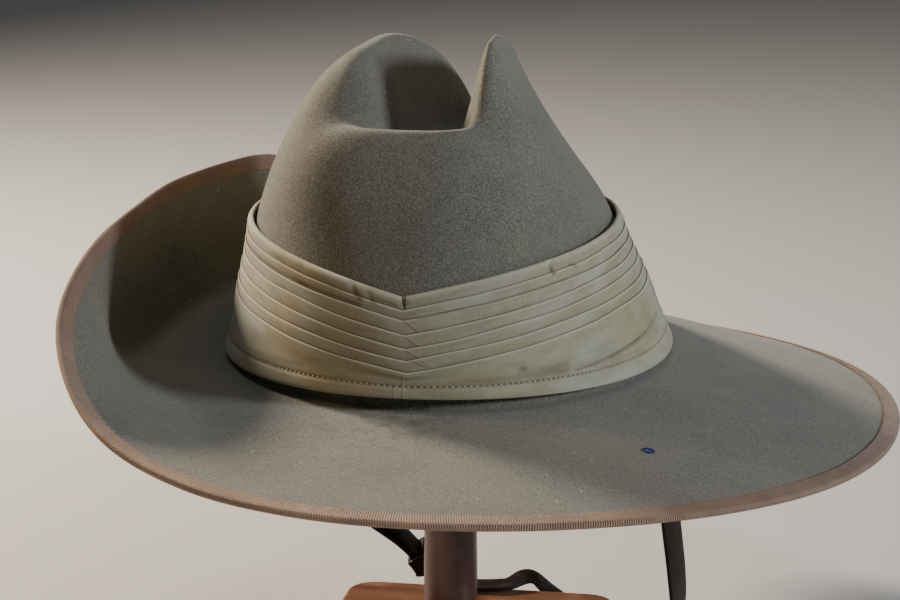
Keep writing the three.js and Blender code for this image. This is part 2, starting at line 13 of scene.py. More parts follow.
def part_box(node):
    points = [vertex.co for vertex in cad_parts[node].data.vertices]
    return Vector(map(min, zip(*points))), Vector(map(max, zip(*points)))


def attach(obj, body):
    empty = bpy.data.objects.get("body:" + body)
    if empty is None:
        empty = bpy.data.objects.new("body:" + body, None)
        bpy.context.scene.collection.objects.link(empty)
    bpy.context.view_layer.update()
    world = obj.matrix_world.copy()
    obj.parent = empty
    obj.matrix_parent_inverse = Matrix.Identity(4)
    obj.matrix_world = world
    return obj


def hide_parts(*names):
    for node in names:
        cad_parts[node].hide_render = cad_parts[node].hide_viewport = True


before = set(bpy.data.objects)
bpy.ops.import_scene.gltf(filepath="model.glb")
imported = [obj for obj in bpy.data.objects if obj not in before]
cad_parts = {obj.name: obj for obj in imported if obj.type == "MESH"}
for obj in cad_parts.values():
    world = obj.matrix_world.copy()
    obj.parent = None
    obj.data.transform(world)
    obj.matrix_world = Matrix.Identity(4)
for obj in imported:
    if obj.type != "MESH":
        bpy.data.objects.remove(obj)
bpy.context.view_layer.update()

MM = 0.001
GAP = 0.3
base_low, base_high = (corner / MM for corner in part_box("stand_base"))
post_low, post_high = (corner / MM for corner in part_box("stand_post"))
STAND_HEIGHT = 122
HAT_Z = base_high.z + STAND_HEIGHT

# Felt: crown and brim
CROWN_HALF_WIDTH = 84.5
CROWN_HALF_LENGTH = 101
CROWN_HEIGHT = 124
FELT = 1.7
BRIM_WIDTH = 97.5
DROOP_FRONT = 7.4
DROOP_SIDE = 14.6
DROOP_BACK = 20
TURN_UP = 103.7
TURN_STARTS = 0.27
TURN_ENDS = 0.7
TURN_FROM = 60
TURN_STEP = 12
FELT_COLUMNS = 300
BRIM_STEPS = 48
CROWN_ROWS = 90
# The lobes are rounded above a share of the crown's height
ROUNDED_FROM = 0.72
ROUNDED_TIMES = 10
# Swells of the brim, as (height, size, seed)
BRIM_WAVES = [(0.5, 38, 3), (0.22, 13, 7)]

# Ribbon round the edge of the brim
BINDING_WIDTH = 5.3
BINDING_COLUMNS = 1536
RIBBON = 0.5
RIBBON_LIES = 0.1
RIB_PITCH = 0.9
SCALLOP_PITCH = 3.1
SCALLOP_DEPTH = 0.45
SCALLOP_STARTS = 0.45
SCALLOP_PUFF = 0.25

# Puggaree
PUGGAREE_WALL = 1.8
PUGGAREE_TOP_FRONT = 41
PUGGAREE_TOP_BACK = 50
PUGGAREE_TOP_LEFT = 57
PUGGAREE_TOP_RIGHT = 54
PUGGAREE_FOOT_FRONT = 5
PUGGAREE_FOOT_SIDE = 1.2
PUGGAREE_FLARE = 2.6
PUGGAREE_STAND_OFF_LEFT = 0.7
PUGGAREE_STAND_OFF_RIGHT = 1
PUGGAREE_V_ANGLE = 2
PUGGAREE_LAY = 0.7
PUGGAREE_COLUMNS = 540
HEM_LINE = 0.88
STITCH_PITCH = 2.3
STITCH_LENGTH = 1.5
STITCH_THICKNESS = 0.3
STITCH_SINK = 0.08
STITCH_COLUMNS = 1440
TACK_THICKNESS = 0.22
TACK_RISE = 0.1
LOOSE_RISE = 0.45

# Eyelet
EYELET_FLANGE = 2.5
EYELET_BARREL = 1.4
EYELET_BORE = 0.9
EYELET_METAL = 0.4
EYELET_ANGLE = -48.3
EYELET_PLACE = 0.51

# Chin strap, its slide and its rivets
STRAP_WIDTH = 12
STRAP = 1.8
STRAP_TOP = 25
STRAP_CLEAR = 1.3
STRAP_EDGE = 0.5
TAIL_LENGTH = 62
TAIL_SPREAD = 5
TAIL_TIP = 7
SLIDE_WALL = 1.5
SLIDE_EDGE = 1.6
SLIDE_SOFT = 0.5
SLIDE_LENGTH = 10
SLIDE_CLEAR = 0.7
SLIDE_ABOVE = 8
RIVET_HEAD_HALF = 3.6
RIVET_HEAD = 1
RIVET_SHANK_HALF = 1.3
RIVET_HEIGHT = 17
ANCHOR_ANGLE = 7

# Stand
BASE_CORNER = 12
BASE_EDGE = 1.6
POST_HALF = 10.9
POST_WEAR = 0.25
HEAD_THICKNESS = 15
HEAD_ROUNDING = 6

# The photograph's camera: angles in degrees, distances and the lens in millimetres
VIEW_TURN = 10
VIEW_RISE = 13.7
VIEW_DISTANCE = 1150
VIEW_LENS = 114
VIEW_RIGHT = -0.3
VIEW_UP = 16.9

# Lights: name, place and size in metres, power in watts and colour. They point at a place above the
# foot of the crown
LIT_HEIGHT = 30
LIGHTS = [
    ("Key", (-1.0, 0.58, 0.82), 0.25, 30, (1, 0.88, 0.72)),
    ("Side", (-1.2, -0.1, 0.75), 0.2, 5, (1, 0.68, 0.34)),
    ("Fill", (1.4, -0.35, 0.65), 0.3, 14, (0.86, 0.93, 1)),
    ("Top", (-0.2, -0.2, 1.7), 0.3, 3, (0.9, 0.94, 1)),
]
SKY_COLOUR = (0.86, 0.87, 0.9, 1)
SKY_STRENGTH = 0.06

# Rings of the crown's outer face, from its foot up over the lobes and down into the dent, as shares
# of its half width, half length and height: how wide and long a ring is, how high at its sides, its
# front and its back, how far it shifts to the right and how much more so towards its back, how much
# wider it gets towards its front and narrower towards its back, and how square both of them are
Ring = namedtuple("Ring", "wide long side front back shift slide spread taper blunt round")
CROWN_RINGS = [Ring(*row) for row in (
    (1, 1, 0, 0, 0, 0, 0, 0, 0, 2, 2),
    (0.935, 0.96, 0.2, 0.2, 0.2, -0.03, 0, 0, 0, 2, 2),
    (0.866, 0.906, 0.339, 0.339, 0.339, -0.052, 0, 0.03, 0.03, 2, 2),
    (0.791, 0.837, 0.484, 0.484, 0.468, -0.067, 0.012, 0.08, 0.08, 2.1, 2),
    (0.65, 0.762, 0.648, 0.629, 0.565, -0.091, 0.024, 0.143, 0.16, 2.4, 2.1),
    (0.516, 0.698, 0.8, 0.726, 0.637, -0.101, 0.036, 0.19, 0.3, 2.65, 2.2),
    (0.421, 0.655, 0.911, 0.77, 0.67, -0.094, 0.041, 0.2, 0.41, 2.9, 2.2),
    (0.353, 0.63, 0.97, 0.785, 0.68, -0.066, 0.043, 0.22, 0.53, 3.1, 2.3),
    (0.29, 0.603, 0.999, 0.785, 0.688, -0.044, 0.047, 0.27, 0.62, 3.2, 2.3),
    (0.229, 0.571, 0.946, 0.752, 0.674, -0.015, 0.036, 0.23, 0.624, 3.15, 2.3),
    (0.172, 0.53, 0.819, 0.702, 0.665, -0.002, 0.045, 0.2, 0.62, 2.9, 2.2),
    (0.1, 0.446, 0.694, 0.653, 0.649, 0, 0.036, 0.2, 0.4, 2.5, 2),
    (0.024, 0.337, 0.65, 0.645, 0.645, 0, 0, 0.1, 0.1, 2, 2),
)]
LAST_RING = len(CROWN_RINGS) - 1
# How a ring rises from its front to the lobes at its sides, and falls from them to its back
CLIMB_STARTS = 0.405
CLIMB_ENDS_LEFT = 1.04
CLIMB_ENDS_RIGHT = 0.93
CLIMB_POWER_LEFT = 1.7
CLIMB_POWER_RIGHT = 3
FALL_POWER = 1.33
# The right lobe's ridge rises in millimetres where the cosine of its angle gets near 1, and falls
# from its front to its back over a stretch of angle in radians
PEAK_RISE = 5.5
PEAK_STARTS = 0.7
PEAK_REACH = 0.25
PEAK_FALL = 8.3
PEAK_FALL_STARTS = -0.25
PEAK_FALL_REACH = 0.5

# How far the brim is turned up, at even steps of angle from the back over the left to the front
TURNED = [0, 0, 0.036, 0.133, 0.329, 0.586, 0.823, 0.956, 1.006, 1.02,
          1.03, 1.008, 0.923, 0.751, 0.451, 0.202, 0.08, 0.027, 0.007, 0]

# Lower edges of the puggaree's pleats, as shares of its height from the top
Pleat = namedtuple("Pleat", "front left right")
PLEATS = [Pleat(0.131, 0.085, 0.09), Pleat(0.229, 0.175, 0.17), Pleat(0.375, 0.245, 0.25),
          Pleat(0.506, 0.35, 0.33), Pleat(0.624, 0.455, 0.415), Pleat(0.749, 0.535, 0.495)]

# Sections of the cloth, as distances down from a line and out from the band's smooth face, with
# the painted light there, from 1 for a painted highlight on a lit fold edge to -1 for painted shade
# in a crease or under the cloth: the rolled top edge, the folded upper edge of a pleat that lies
# over the pleat above it, the sewn hem line and the foot
ROLL = [(3, -1.8, -1), (0.5, -1.75, -1), (0.1, -1.4, -0.6), (0, -0.9, 0), (0.15, -0.35, 0.7),
        (0.55, 0.1, 0.8), (1.3, 0.42, 0.4), (2.2, 0.52, 0.1), (3.1, 0.45, 0)]
FOLD_EDGE = [(-1.2, 0.2, 0), (-0.6, 0.08, -0.35), (-0.2, 0, -0.8), (0.4, -0.05, -1), (0.8, 0.02, -1),
             (0.4, 0.1, -1), (0, 0.15, -0.7), (-0.15, 0.27, 0.2), (-0.1, 0.42, 1), (0.15, 0.5, 0.8),
             (0.8, 0.48, 0.05)]
HEM_GROOVE = [(-1.2, 0.08, 0), (-0.6, 0.06, 0), (-0.25, -0.1, -0.5), (0, -0.22, -1), (0.3, -0.05, -0.4),
              (0.8, 0.25, 0.3), (1.8, 0.36, 0)]
HEM_FOOT = [(-1.6, 0.34, 0), (-0.6, 0.22, 0.3), (-0.15, -0.1, 0.5), (0, -0.6, 0), (-0.05, -1.2, -0.6),
            (-0.3, -1.7, -1), (-1, -1.8, -1)]

# Steps of the sections that show as the lines of the cloth
ROLL_TOP = 3
FOLD_LIP = 8
GROOVE_FLOOR = 3
FOOT_EDGE = 3

# Rows between two pleats, on the plain part below them and up the inner side, how far they stand
# proud, and the unevenness of the roll, the lines and the plain part
PLEAT_ROWS = (0.36, 0.46, 0.56)
FOLD = 0.5
FOLD_SWELL = 0.1
PLAIN_ROWS = 17
PLAIN_PROUD_TOP = 0.46
PLAIN_PROUD_FOOT = 0.08
PLAIN_STARTS = 1.3
PLAIN_ENDS = 1.6
INNER_ROWS = (0.75, 0.45, 0.2)
ROLL_DEPTH = 1.2
ROLL_WANDER = 0.3
LINE_WANDER = 0.5
PLAIN_WANDER = 0.2

# Faint lines pressed into the cloth, as bumps with a little painted shade along them, from one
# (angle, mark) to another: the left side's folds under the right side's, the join at the front and
# slanting creases. Marks 0 to 8 are the top, the six pleat lines, the hem line and the foot
PRESSED_WIDTH = 0.7
PRESSED = [
    ((-88, 1.95), (-82.5, 2.9)), ((-88, 3), (-83.5, 3.85)), ((-88, 4), (-84, 4.8)),
    ((-87.5, 4.9), (-79.5, 5.95)), ((-84.5, 5.1), (-79, 5.95)),
    ((-89, 6.1), (-89.2, 8)), ((-91.3, 7.05), (-91.4, 8)),
]
# Dark lines along the cloth, from one (angle, mark) to another, with their width and strength:
# painted shade in the gap above the second pleat line and in the dents where the tacks pull the roll,
# and darker lines along the hem
SHADE_AND_GRIME = [
    ((-77, 6.9), (-48, 6.84), 3.6, 0.7), ((-86.5, 1.85), (-66, 1.85), 1.3, 1.5),
    ((-59.3, 6.6), (-58.7, 6.6), 1.8, 1), ((-101, 0.55), (-100, 1), 2.6, 1.3),
    ((-96.5, 0.6), (-96, 1), 1.8, 1), ((-45, 0.5), (-44.4, 1), 1.8, 1.4),
    ((-38, 0.75), (-36.5, 1), 1.8, 1.2), ((-100, 1.5), (-84, 1.9), 1.6, 1.2),
    ((-56, 1.9), (-40, 1.9), 1.4, 1.2), ((-140, 6.9), (-118, 6.75), 3, 0.6),
    ((-45, 6.9), (-33, 6.79), 0.8, 0.9), ((-33, 6.79), (-14, 6.66), 0.9, 1.3),
    ((-14, 6.66), (0, 6.57), 0.7, 0.7),
]
# Soft diagonal creases of the plain part at the right, from one (angle, drop) to another, and their
# section: a (place, height, width) for the swell above, the crease and the swell below
SWELLS = [((-50, 0.865), (6, 0.7)), ((-30, 0.95), (12, 0.82)), ((-60, 0.84), (-24, 0.69))]
SWELL_SECTION = [(-2.2, 1.1, 2), (0, -0.75, 0.9), (2.4, 0.6, 1.6)]
# Small pulls in the roll where tacks hold it, as (angle, depth)
PULLS = [(-101.5, 0.8), (-97.5, 0.5), (-87.6, 0.55), (-44.6, 1), (-38, 0.6), (-69, 0.3), (-118, 0.2),
         (28, 0.4), (77, 0.3), (121, 0.4), (163, 0.3)]
PULL_WIDTH = 1.1
# Threads that show on the roll, from one (angle, drop) to another
TACKS = [((-87.9, 0.0), (-87.55, 0.12)), ((-87.2, 0.0), (-87.35, 0.115))]
LOOSE_THREAD = [(-84.8, 0.168), (-82.5, 0.16), (-79.5, 0.165), (-76.6, 0.163)]

# The strap's free runs, as shares of the sizes that they follow: down at the left as (share, bow),
# round the back of the base as (across, beyond, level, twist) and up at the right as (share, bow,
# twist), with twists in degrees
LEFT_RUN = [(0.2, -0.035), (0.45, -0.06), (0.68, -0.03), (0.82, 0.002), (0.92, 0.022)]
BACK_RUN = [(-0.13, -0.45, 1.1, 0), (0, -0.3, 1, 0), (0.13, -0.1, 1.02, 0), (0.21, 0.7, 1.03, 0),
            (0.29, 1.3, 0.55, 0), (0.41, 1.3, 0.05, 0), (0.56, 1.1, 0, 0), (0.69, 0.65, 0.02, -4),
            (0.77, 0.15, 0.2, -12)]
RIGHT_RUN = [(0.08, 0.012, -22), (0.2, 0.016, -28), (0.4, 0.012, -30), (0.65, 0.01, -24),
             (0.85, 0.006, -12)]


# Numbers and curves


def smooth(value):
    x = np.clip(value, 0, 1)
    return x * x * (3 - 2 * x)


def mix(a, b, share):
    return a + (b - a) * share


def unit(vectors):
    return vectors / np.linalg.norm(vectors, axis=-1, keepdims=True)


def curve_points(p0, p1, p2, p3, share):
    """Points between p1 and p2, on a smooth curve through four rows of points."""
    steps = [np.linalg.norm(b - a, axis=-1, keepdims=True) ** 0.5
             for a, b in ((p0, p1), (p1, p2), (p2, p3))]
    before, here, after = (np.maximum(step, 1e-6) for step in steps)
    start = (p1 - p0) / before - (p2 - p0) / (before + here) + (p2 - p1) / here
    end = (p2 - p1) / here - (p3 - p1) / (here + after) + (p3 - p2) / after
    start, end = start * here, end * here
    t = np.reshape(share, (-1, 1))
    cubic = 2 * (p1 - p2) + start + end
    square = 3 * (p2 - p1) - 2 * start - end
    return p1 + start * t + square * t**2 + cubic * t**3


def wander(angles, size, seed):
    """Gentle unevenness between -1 and 1 round the crown, the same at both ends of the circle."""
    return np.array([ripple((CROWN_HALF_WIDTH * math.cos(angle), CROWN_HALF_LENGTH * math.sin(angle), 0),
                            size, seed) for angle in angles])


def ripple(point, size, seed):
    """Gentle unevenness between -1 and 1, with swells about a size across."""
    return noise.noise(Vector(point) / size + Vector((seed, 0, 0)))


# The crown and the brim as forms


def columns(count):
    """Angles of evenly spaced columns, from the front over the right side."""
    return -math.pi / 2 + 2 * math.pi * np.arange(count) / count


def ring_points(ring, angles):
    c, s = np.cos(angles), np.sin(angles)
    square = np.where(s < 0, ring.blunt, ring.round)
    across = np.sign(c) * np.abs(c) ** (2 / square)
    along = np.sign(s) * np.abs(s) ** (2 / square)
    end = np.where(s < 0, ring.front, ring.back)
    ends = np.where(c < 0, CLIMB_ENDS_LEFT, CLIMB_ENDS_RIGHT)
    power = np.where(c < 0, CLIMB_POWER_LEFT, CLIMB_POWER_RIGHT)
    climb = np.maximum((np.abs(c) - CLIMB_STARTS) / (ends - CLIMB_STARTS), 0)
    side_share = np.where(s < 0, smooth(climb**power), np.abs(c) ** FALL_POWER)
    rise = PEAK_RISE * smooth((c - PEAK_STARTS) / PEAK_REACH)
    fall = PEAK_FALL * smooth((np.arctan2(s, c) - PEAK_FALL_STARTS) / PEAK_FALL_REACH)
    lift = (rise - fall) * ring.side**3 * np.maximum(c, 0) ** 2
    narrowing = (ring.taper - ring.spread) * np.maximum(along, 0) ** 2
    width = ring.wide * (1 - ring.spread * along - narrowing)
    return np.stack([
        CROWN_HALF_WIDTH * (ring.shift + ring.slide * along + width * across),
        CROWN_HALF_LENGTH * ring.long * along,
        CROWN_HEIGHT * (ring.side * side_share + end * (1 - side_share)) + lift,
    ], axis=-1)


class Crown:
    """The crown's outer face along a set of columns."""

    def __init__(self, angles):
        rings = [ring_points(ring, angles) for ring in CROWN_RINGS]
        self.angles = angles
        self.rings = np.stack([2 * rings[0] - rings[1], *rings, 2 * rings[-1] - rings[-2]])
        self.column = np.arange(len(angles))

    def points(self, ring_number):
        """Points at a ring number, which may be a fraction and differ from column to column."""
        numbers = np.broadcast_to(ring_number, self.angles.shape)
        first = np.clip(np.floor(numbers).astype(int), 0, LAST_RING - 1)
        corners = [self.rings[first + i, self.column] for i in range(4)]
        return curve_points(*corners, numbers - first)

    def numbers_at(self, heights):
        """Ring numbers at heights, on the crown's way up."""
        low = np.zeros(len(self.angles))
        high = np.full(len(self.angles), 5.0)
        for _ in range(24):
            middle = (low + high) / 2
            below = self.points(middle)[:, 2] < heights
            low = np.where(below, middle, low)
            high = np.where(below, high, middle)
        return (low + high) / 2

    def normals(self, ring_number):
        step = 0.01
        numbers = np.maximum(ring_number, 0.02)
        around = Crown(self.angles + step).points(numbers) - Crown(self.angles - step).points(numbers)
        rising = self.points(numbers + step) - self.points(numbers - step)
        return unit(np.cross(around, rising))


def turned_share(angles):
    """How far the brim is turned up at each angle, on a smooth curve through TURNED."""
    way = np.minimum(np.mod(np.degrees(angles) - TURN_FROM, 360) / TURN_STEP, len(TURNED) - 1)
    first = np.minimum(way.astype(int), len(TURNED) - 2)
    shares = np.array([TURNED[0], *TURNED, TURNED[-1]])
    before, here, after, beyond = (shares[first + i] for i in range(4))
    t = way - first
    start, end = (after - before) / 2, (beyond - here) / 2
    return (here + start * t + (3 * (after - here) - 2 * start - end) * t**2
            + (2 * (here - after) + start + end) * t**3)


def brim_rows(angles):
    """The brim's upper face, row by row outwards: it droops, and turns up round the left side."""
    c, s = np.cos(angles), np.sin(angles)
    level = np.zeros(len(angles))
    out = unit(np.stack([c / CROWN_HALF_WIDTH, s / CROWN_HALF_LENGTH, level], axis=-1))
    up = np.array([0, 0, 1])
    turned = turned_share(angles)
    droop = np.where(s < 0, DROOP_FRONT, DROOP_BACK) * s * s + DROOP_SIDE * c * c
    rows = [Crown(angles).points(0)]
    step = BRIM_WIDTH / BRIM_STEPS
    for i in range(BRIM_STEPS):
        place = (i + 0.5) / BRIM_STEPS
        lift = TURN_UP * smooth((place - TURN_STARTS) / (TURN_ENDS - TURN_STARTS))
        slope = np.radians(lift * turned - droop * (1 - turned))[:, None]
        rows.append(rows[i] + step * (out * np.cos(slope) + up * np.sin(slope)))
    return rows


def brim_spot(angle, place):
    """A point of the brim's upper face and the upward normal there."""
    step = 0.01
    rows = brim_rows(np.array([angle - step, angle, angle + step]))
    at = place * BRIM_STEPS
    i = int(at)
    before, here, after = mix(rows[i], rows[i + 1], at - i)
    outwards = rows[i + 1][1] - rows[i][1]
    return here, unit(np.cross(outwards, after - before))


# Mesh work


def loft(bm, loops, around=None, along=None, closes=False):
    """Skins loops of points: a circle of vertices is laid on the first loop and extruded to each
    of the others. around and along are lengths for the UV map, one for each point of a loop (and
    one more for the way back to its start), and one for each loop. closes joins the ends."""
    size = len(loops[0])
    ring = bmesh.ops.create_circle(bm, segments=size, radius=1)["verts"]
    rings = []
    for loop in loops:
        if rings:
            edges = [bm.edges.get(pair) for pair in zip(ring, ring[1:] + ring[:1])]
            grown = set(bmesh.ops.extrude_edge_only(bm, edges=edges)["geom"])
            ring = [next(edge.other_vert(vert) for edge in vert.link_edges
                         if edge.other_vert(vert) in grown) for vert in ring]
        for vert, point in zip(ring, loop):
            vert.co = Vector(point) * MM
        rings.append(ring)
    if around is not None:
        lay_uv(bm, rings, around, along)
    if closes:
        bmesh.ops.weld_verts(bm, targetmap=dict(zip(rings[-1], rings[0])))
    return rings


def lay_uv(bm, rings, around, along):
    spots = {vert: (row, column) for row, ring in enumerate(rings) for column, vert in enumerate(ring)}
    uv = bm.loops.layers.uv.verify()
    for face in bm.faces:
        if face.verts[0] not in spots:
            continue
        places = [spots[corner.vert] for corner in face.loops]
        wraps = max(column for _, column in places) > min(column for _, column in places) + 1
        for corner, (row, column) in zip(face.loops, places):
            u = around[-1] if wraps and column == 0 else around[column]
            corner[uv].uv = (u * MM, along[row] * MM)


def lengths_round(loop):
    """Lengths along a closed loop of points, with the whole way round as the last one."""
    return way_along(np.linalg.norm(np.roll(loop, -1, axis=0) - loop, axis=-1))


def way_along(steps):
    return np.concatenate([[0], np.cumsum(steps)])


def spun(bm, outline, steps):
    """Turns an outline of (radius, height) points about the Z axis."""
    verts = [bm.verts.new((radius * MM, 0, height * MM)) for radius, height in outline]
    edges = [bm.edges.new(pair) for pair in zip(verts, verts[1:])]
    bmesh.ops.spin(bm, geom=verts + edges, axis=(0, 0, 1), cent=(0, 0, 0), angle=2 * math.pi,
                   steps=steps, use_merge=True)
    bmesh.ops.remove_doubles(bm, verts=bm.verts, dist=0.02 * MM)


def seated(bm, place, normal):
    """Turns what stands along Z so that it stands along a normal, at a place."""
    turn = Vector((0, 0, 1)).rotation_difference(Vector(normal)).to_matrix().to_4x4()
    bmesh.ops.transform(bm, matrix=Matrix.Translation(Vector(place) * MM) @ turn, verts=bm.verts)


def raised(points):
    """Points of the hat, lifted to its place on the stand."""
    return points + np.array([0, 0, HAT_Z])


def closed_piece(bm, name, material, slot, *nodes):
    bmesh.ops.recalc_face_normals(bm, faces=bm.faces)
    return piece(bm, name, material, slot, *nodes)


def piece(bm, name, material, slot, *nodes):
    shown = meshed(bm, name, material)
    shown.data.shade_smooth()
    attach(shown, "root")
    if nodes:
        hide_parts(*nodes)
    return shown


def meshed(bm, name, material):
    mesh = bpy.data.meshes.new(name)
    bm.to_mesh(mesh)
    bm.free()
    mesh.materials.append(material)
    return linked(name, mesh)


def linked(name, data):
    made = bpy.data.objects.new(name, data)
    bpy.context.scene.collection.objects.link(made)
    return made


# Materials


def put(tree, kind, values=None, **settings):
    """Adds a shader node. values gives its sockets a value or what they are linked to."""
    node = tree.nodes.new("ShaderNode" + kind)
    for name, value in settings.items():
        setattr(node, name, value)
    for name, value in (values or {}).items():
        if isinstance(value, bpy.types.NodeSocket):
            tree.links.new(value, node.inputs[name])
        else:
            node.inputs[name].default_value = value
    return node


def maths(tree, operation, *values):
    return put(tree, "Math", dict(enumerate(values)), operation=operation).outputs[0]


def times(tree, first, second):
    return maths(tree, "MULTIPLY", first, second)


def vectors(tree, operation, first, second, output=0):
    return put(tree, "VectorMath", {0: first, 1: second}, operation=operation).outputs[output]


def between(tree, value, low, high, start=0.0, end=1.0):
    """Maps a value from low..high to start..end, held at both ends."""
    values = {"Value": value, "From Min": low, "From Max": high, "To Min": start, "To Max": end}
    return put(tree, "MapRange", values).outputs["Result"]


def mixed(tree, share, first, second):
    return put(tree, "Mix", {0: share, 6: first, 7: second}, data_type="RGBA").outputs[2]


def tinted(tree, colour, mask, strength, tint):
    """A colour with a tint over it where a mask is, at a strength."""
    return mixed(tree, times(tree, mask, strength), colour, tint)


def axes(tree, vector):
    return put(tree, "SeparateXYZ", {0: vector}).outputs


def stretched(tree, vector, scale):
    return put(tree, "Mapping", {"Vector": vector, "Scale": scale}).outputs[0]


def clouds(tree, vector, scale, detail, **more):
    values = {"Vector": vector, "Scale": scale, "Detail": detail, **more}
    return put(tree, "TexNoise", values).outputs["Fac"]


def grouped(tree, group, values):
    """Adds a node group and gives its outputs."""
    return put(tree, "Group", values, node_tree=group).outputs


def shader_group(name, inputs, outputs, build):
    """A node group with float or vector inputs, whose build function returns its outputs."""
    tree = bpy.data.node_groups.new(name, "ShaderNodeTree")
    for socket, value in inputs.items():
        kind = "NodeSocketVector" if value is None else "NodeSocketFloat"
        made = tree.interface.new_socket(name=socket, in_out="INPUT", socket_type=kind)
        if value is not None:
            made.default_value = value
    for socket in outputs:
        tree.interface.new_socket(name=socket, in_out="OUTPUT", socket_type="NodeSocketFloat")
    entry = tree.nodes.new("NodeGroupInput")
    leave = tree.nodes.new("NodeGroupOutput")
    for socket, value in zip(outputs, build(tree, entry.outputs)):
        tree.links.new(value, leave.inputs[socket])
    return tree


def build_mottle(tree, given):
    """Patches of a size in millimetres, as a mask that is crisp or soft."""
    scale = maths(tree, "DIVIDE", 1000.0, given["Size"])
    half = times(tree, given["Softness"], 0.5)
    low, high = (maths(tree, operation, given["Level"], half) for operation in ("SUBTRACT", "ADD"))
    return [between(tree, clouds(tree, given["Vector"], scale, 4.0), low, high)]


def build_nap(tree, given):
    """Short felted fibres: their height, and how light each one is."""
    scale = maths(tree, "DIVIDE", 1000.0, given["Size"])
    fine = clouds(tree, given["Vector"], scale, 6.0, Roughness=0.7, Distortion=0.6)
    coarse = clouds(tree, given["Vector"], times(tree, scale, 0.28), 3.0)
    return [maths(tree, "MULTIPLY_ADD", coarse, 0.6, fine), between(tree, fine, 0.41, 0.61)]


def build_weave(tree, given):
    """Plain weave: threads over and under each other, along the piece's UV map, and thick places
    in the threads both ways."""
    ways = axes(tree, given["Vector"])
    turns = maths(tree, "DIVIDE", 1000.0 * math.pi, given["Thread"])
    along, across = (maths(tree, "SINE", times(tree, ways[axis], turns)) for axis in (0, 1))
    first, second = (clouds(tree, stretched(tree, given["Vector"], scale), 1.0, 2.0)
                     for scale in ((70, 1500, 1), (1300, 110, 1)))
    slub = maths(tree, "MULTIPLY_ADD", second, 0.5, times(tree, first, 0.5))
    height = maths(tree, "MULTIPLY_ADD", times(tree, along, across), 0.35, times(tree, slub, 1.4))
    return [height, slub]


def build_pressed(tree, given):
    """A line from a start to an end, as a mask that fades out over its width in millimetres."""
    run = vectors(tree, "SUBTRACT", given["End"], given["Start"])
    off = vectors(tree, "SUBTRACT", given["Vector"], given["Start"])
    onto, whole = (vectors(tree, "DOT_PRODUCT", other, run, "Value") for other in (off, run))
    share = between(tree, maths(tree, "DIVIDE", onto, whole), 0.0, 1.0)
    foot = put(tree, "VectorMath", {0: run, "Scale": share}, operation="SCALE").outputs[0]
    away = vectors(tree, "DISTANCE", off, foot, "Value")
    return [between(tree, away, times(tree, given["Width"], MM), 0.0)]


def build_grain(tree, given):
    """Wood grain: streaks that run along X, with darker pores in them."""
    rings = clouds(tree, stretched(tree, given["Vector"], (6, 90, 90)), 1.0, 5.0, Distortion=0.8)
    pores = clouds(tree, stretched(tree, given["Vector"], (30, 1400, 1400)), 1.0, 2.0)
    return [rings, pores]


mottle = shader_group("Mottle", {"Vector": None, "Size": 30.0, "Level": 0.5, "Softness": 0.3},
                      ["Mask"], build_mottle)
nap = shader_group("Nap", {"Vector": None, "Size": 0.7}, ["Height", "Light"], build_nap)
weave = shader_group("Weave", {"Vector": None, "Thread": 0.45}, ["Height", "Slub"], build_weave)
grain = shader_group("Grain", {"Vector": None}, ["Rings", "Pores"], build_grain)
pressed_line = shader_group("Pressed line", {"Vector": None, "Start": None, "End": None, "Width": 1.0},
                            ["Mask"], build_pressed)


def start_material(name, **surface):
    """A new material, its node tree, and the places on the object and on the piece's UV map."""
    material = bpy.data.materials.new(name)
    material.use_nodes = True
    tree = material.node_tree
    for socket, value in surface.items():
        tree.nodes["Principled BSDF"].inputs[socket.replace("_", " ")].default_value = value
    where = put(tree, "TexCoord").outputs
    return material, tree, where["Object"], where["UV"]


def painted(material, colour, roughness=None, bumps=None):
    """Gives a material's shader its colour and, where it has them, its roughness and its bumps,
    which are a height, a depth in millimetres and a strength."""
    tree = material.node_tree
    given = {"Base Color": colour, "Roughness": roughness}
    if bumps:
        height, depth, strength = bumps
        values = {"Height": height, "Distance": depth * MM, "Strength": strength}
        given["Normal"] = put(tree, "Bump", values).outputs[0]
    for socket, value in given.items():
        if value is not None:
            tree.links.new(value, tree.nodes["Principled BSDF"].inputs[socket])
    return material


def ranged(tree, mask, start, end):
    return between(tree, mask, 0.0, 1.0, start, end)


def patches(tree, vector, size, level, softness):
    values = {"Vector": vector, "Size": size, "Level": level, "Softness": softness}
    return grouped(tree, mottle, values)["Mask"]


# Patches of another colour, as patches makes them
Stain = namedtuple("Stain", "size level softness strength tint")


def stained(tree, colour, vector, *stains):
    for stain in stains:
        mask = patches(tree, vector, stain.size, stain.level, stain.softness)
        colour = tinted(tree, colour, mask, stain.strength, stain.tint)
    return colour


def near_spot(tree, vector, spot, reach):
    """A mask that is 1 at a spot and fades to 0 at a reach from it, both in millimetres."""
    from_spot = vectors(tree, "DISTANCE", vector, Vector(spot) * MM, "Value")
    return between(tree, from_spot, reach * MM, 0.35 * reach * MM)


def near_line(tree, vector, start, end, width):
    values = {"Vector": vector, "Start": start, "End": end, "Width": width}
    return grouped(tree, pressed_line, values)["Mask"]


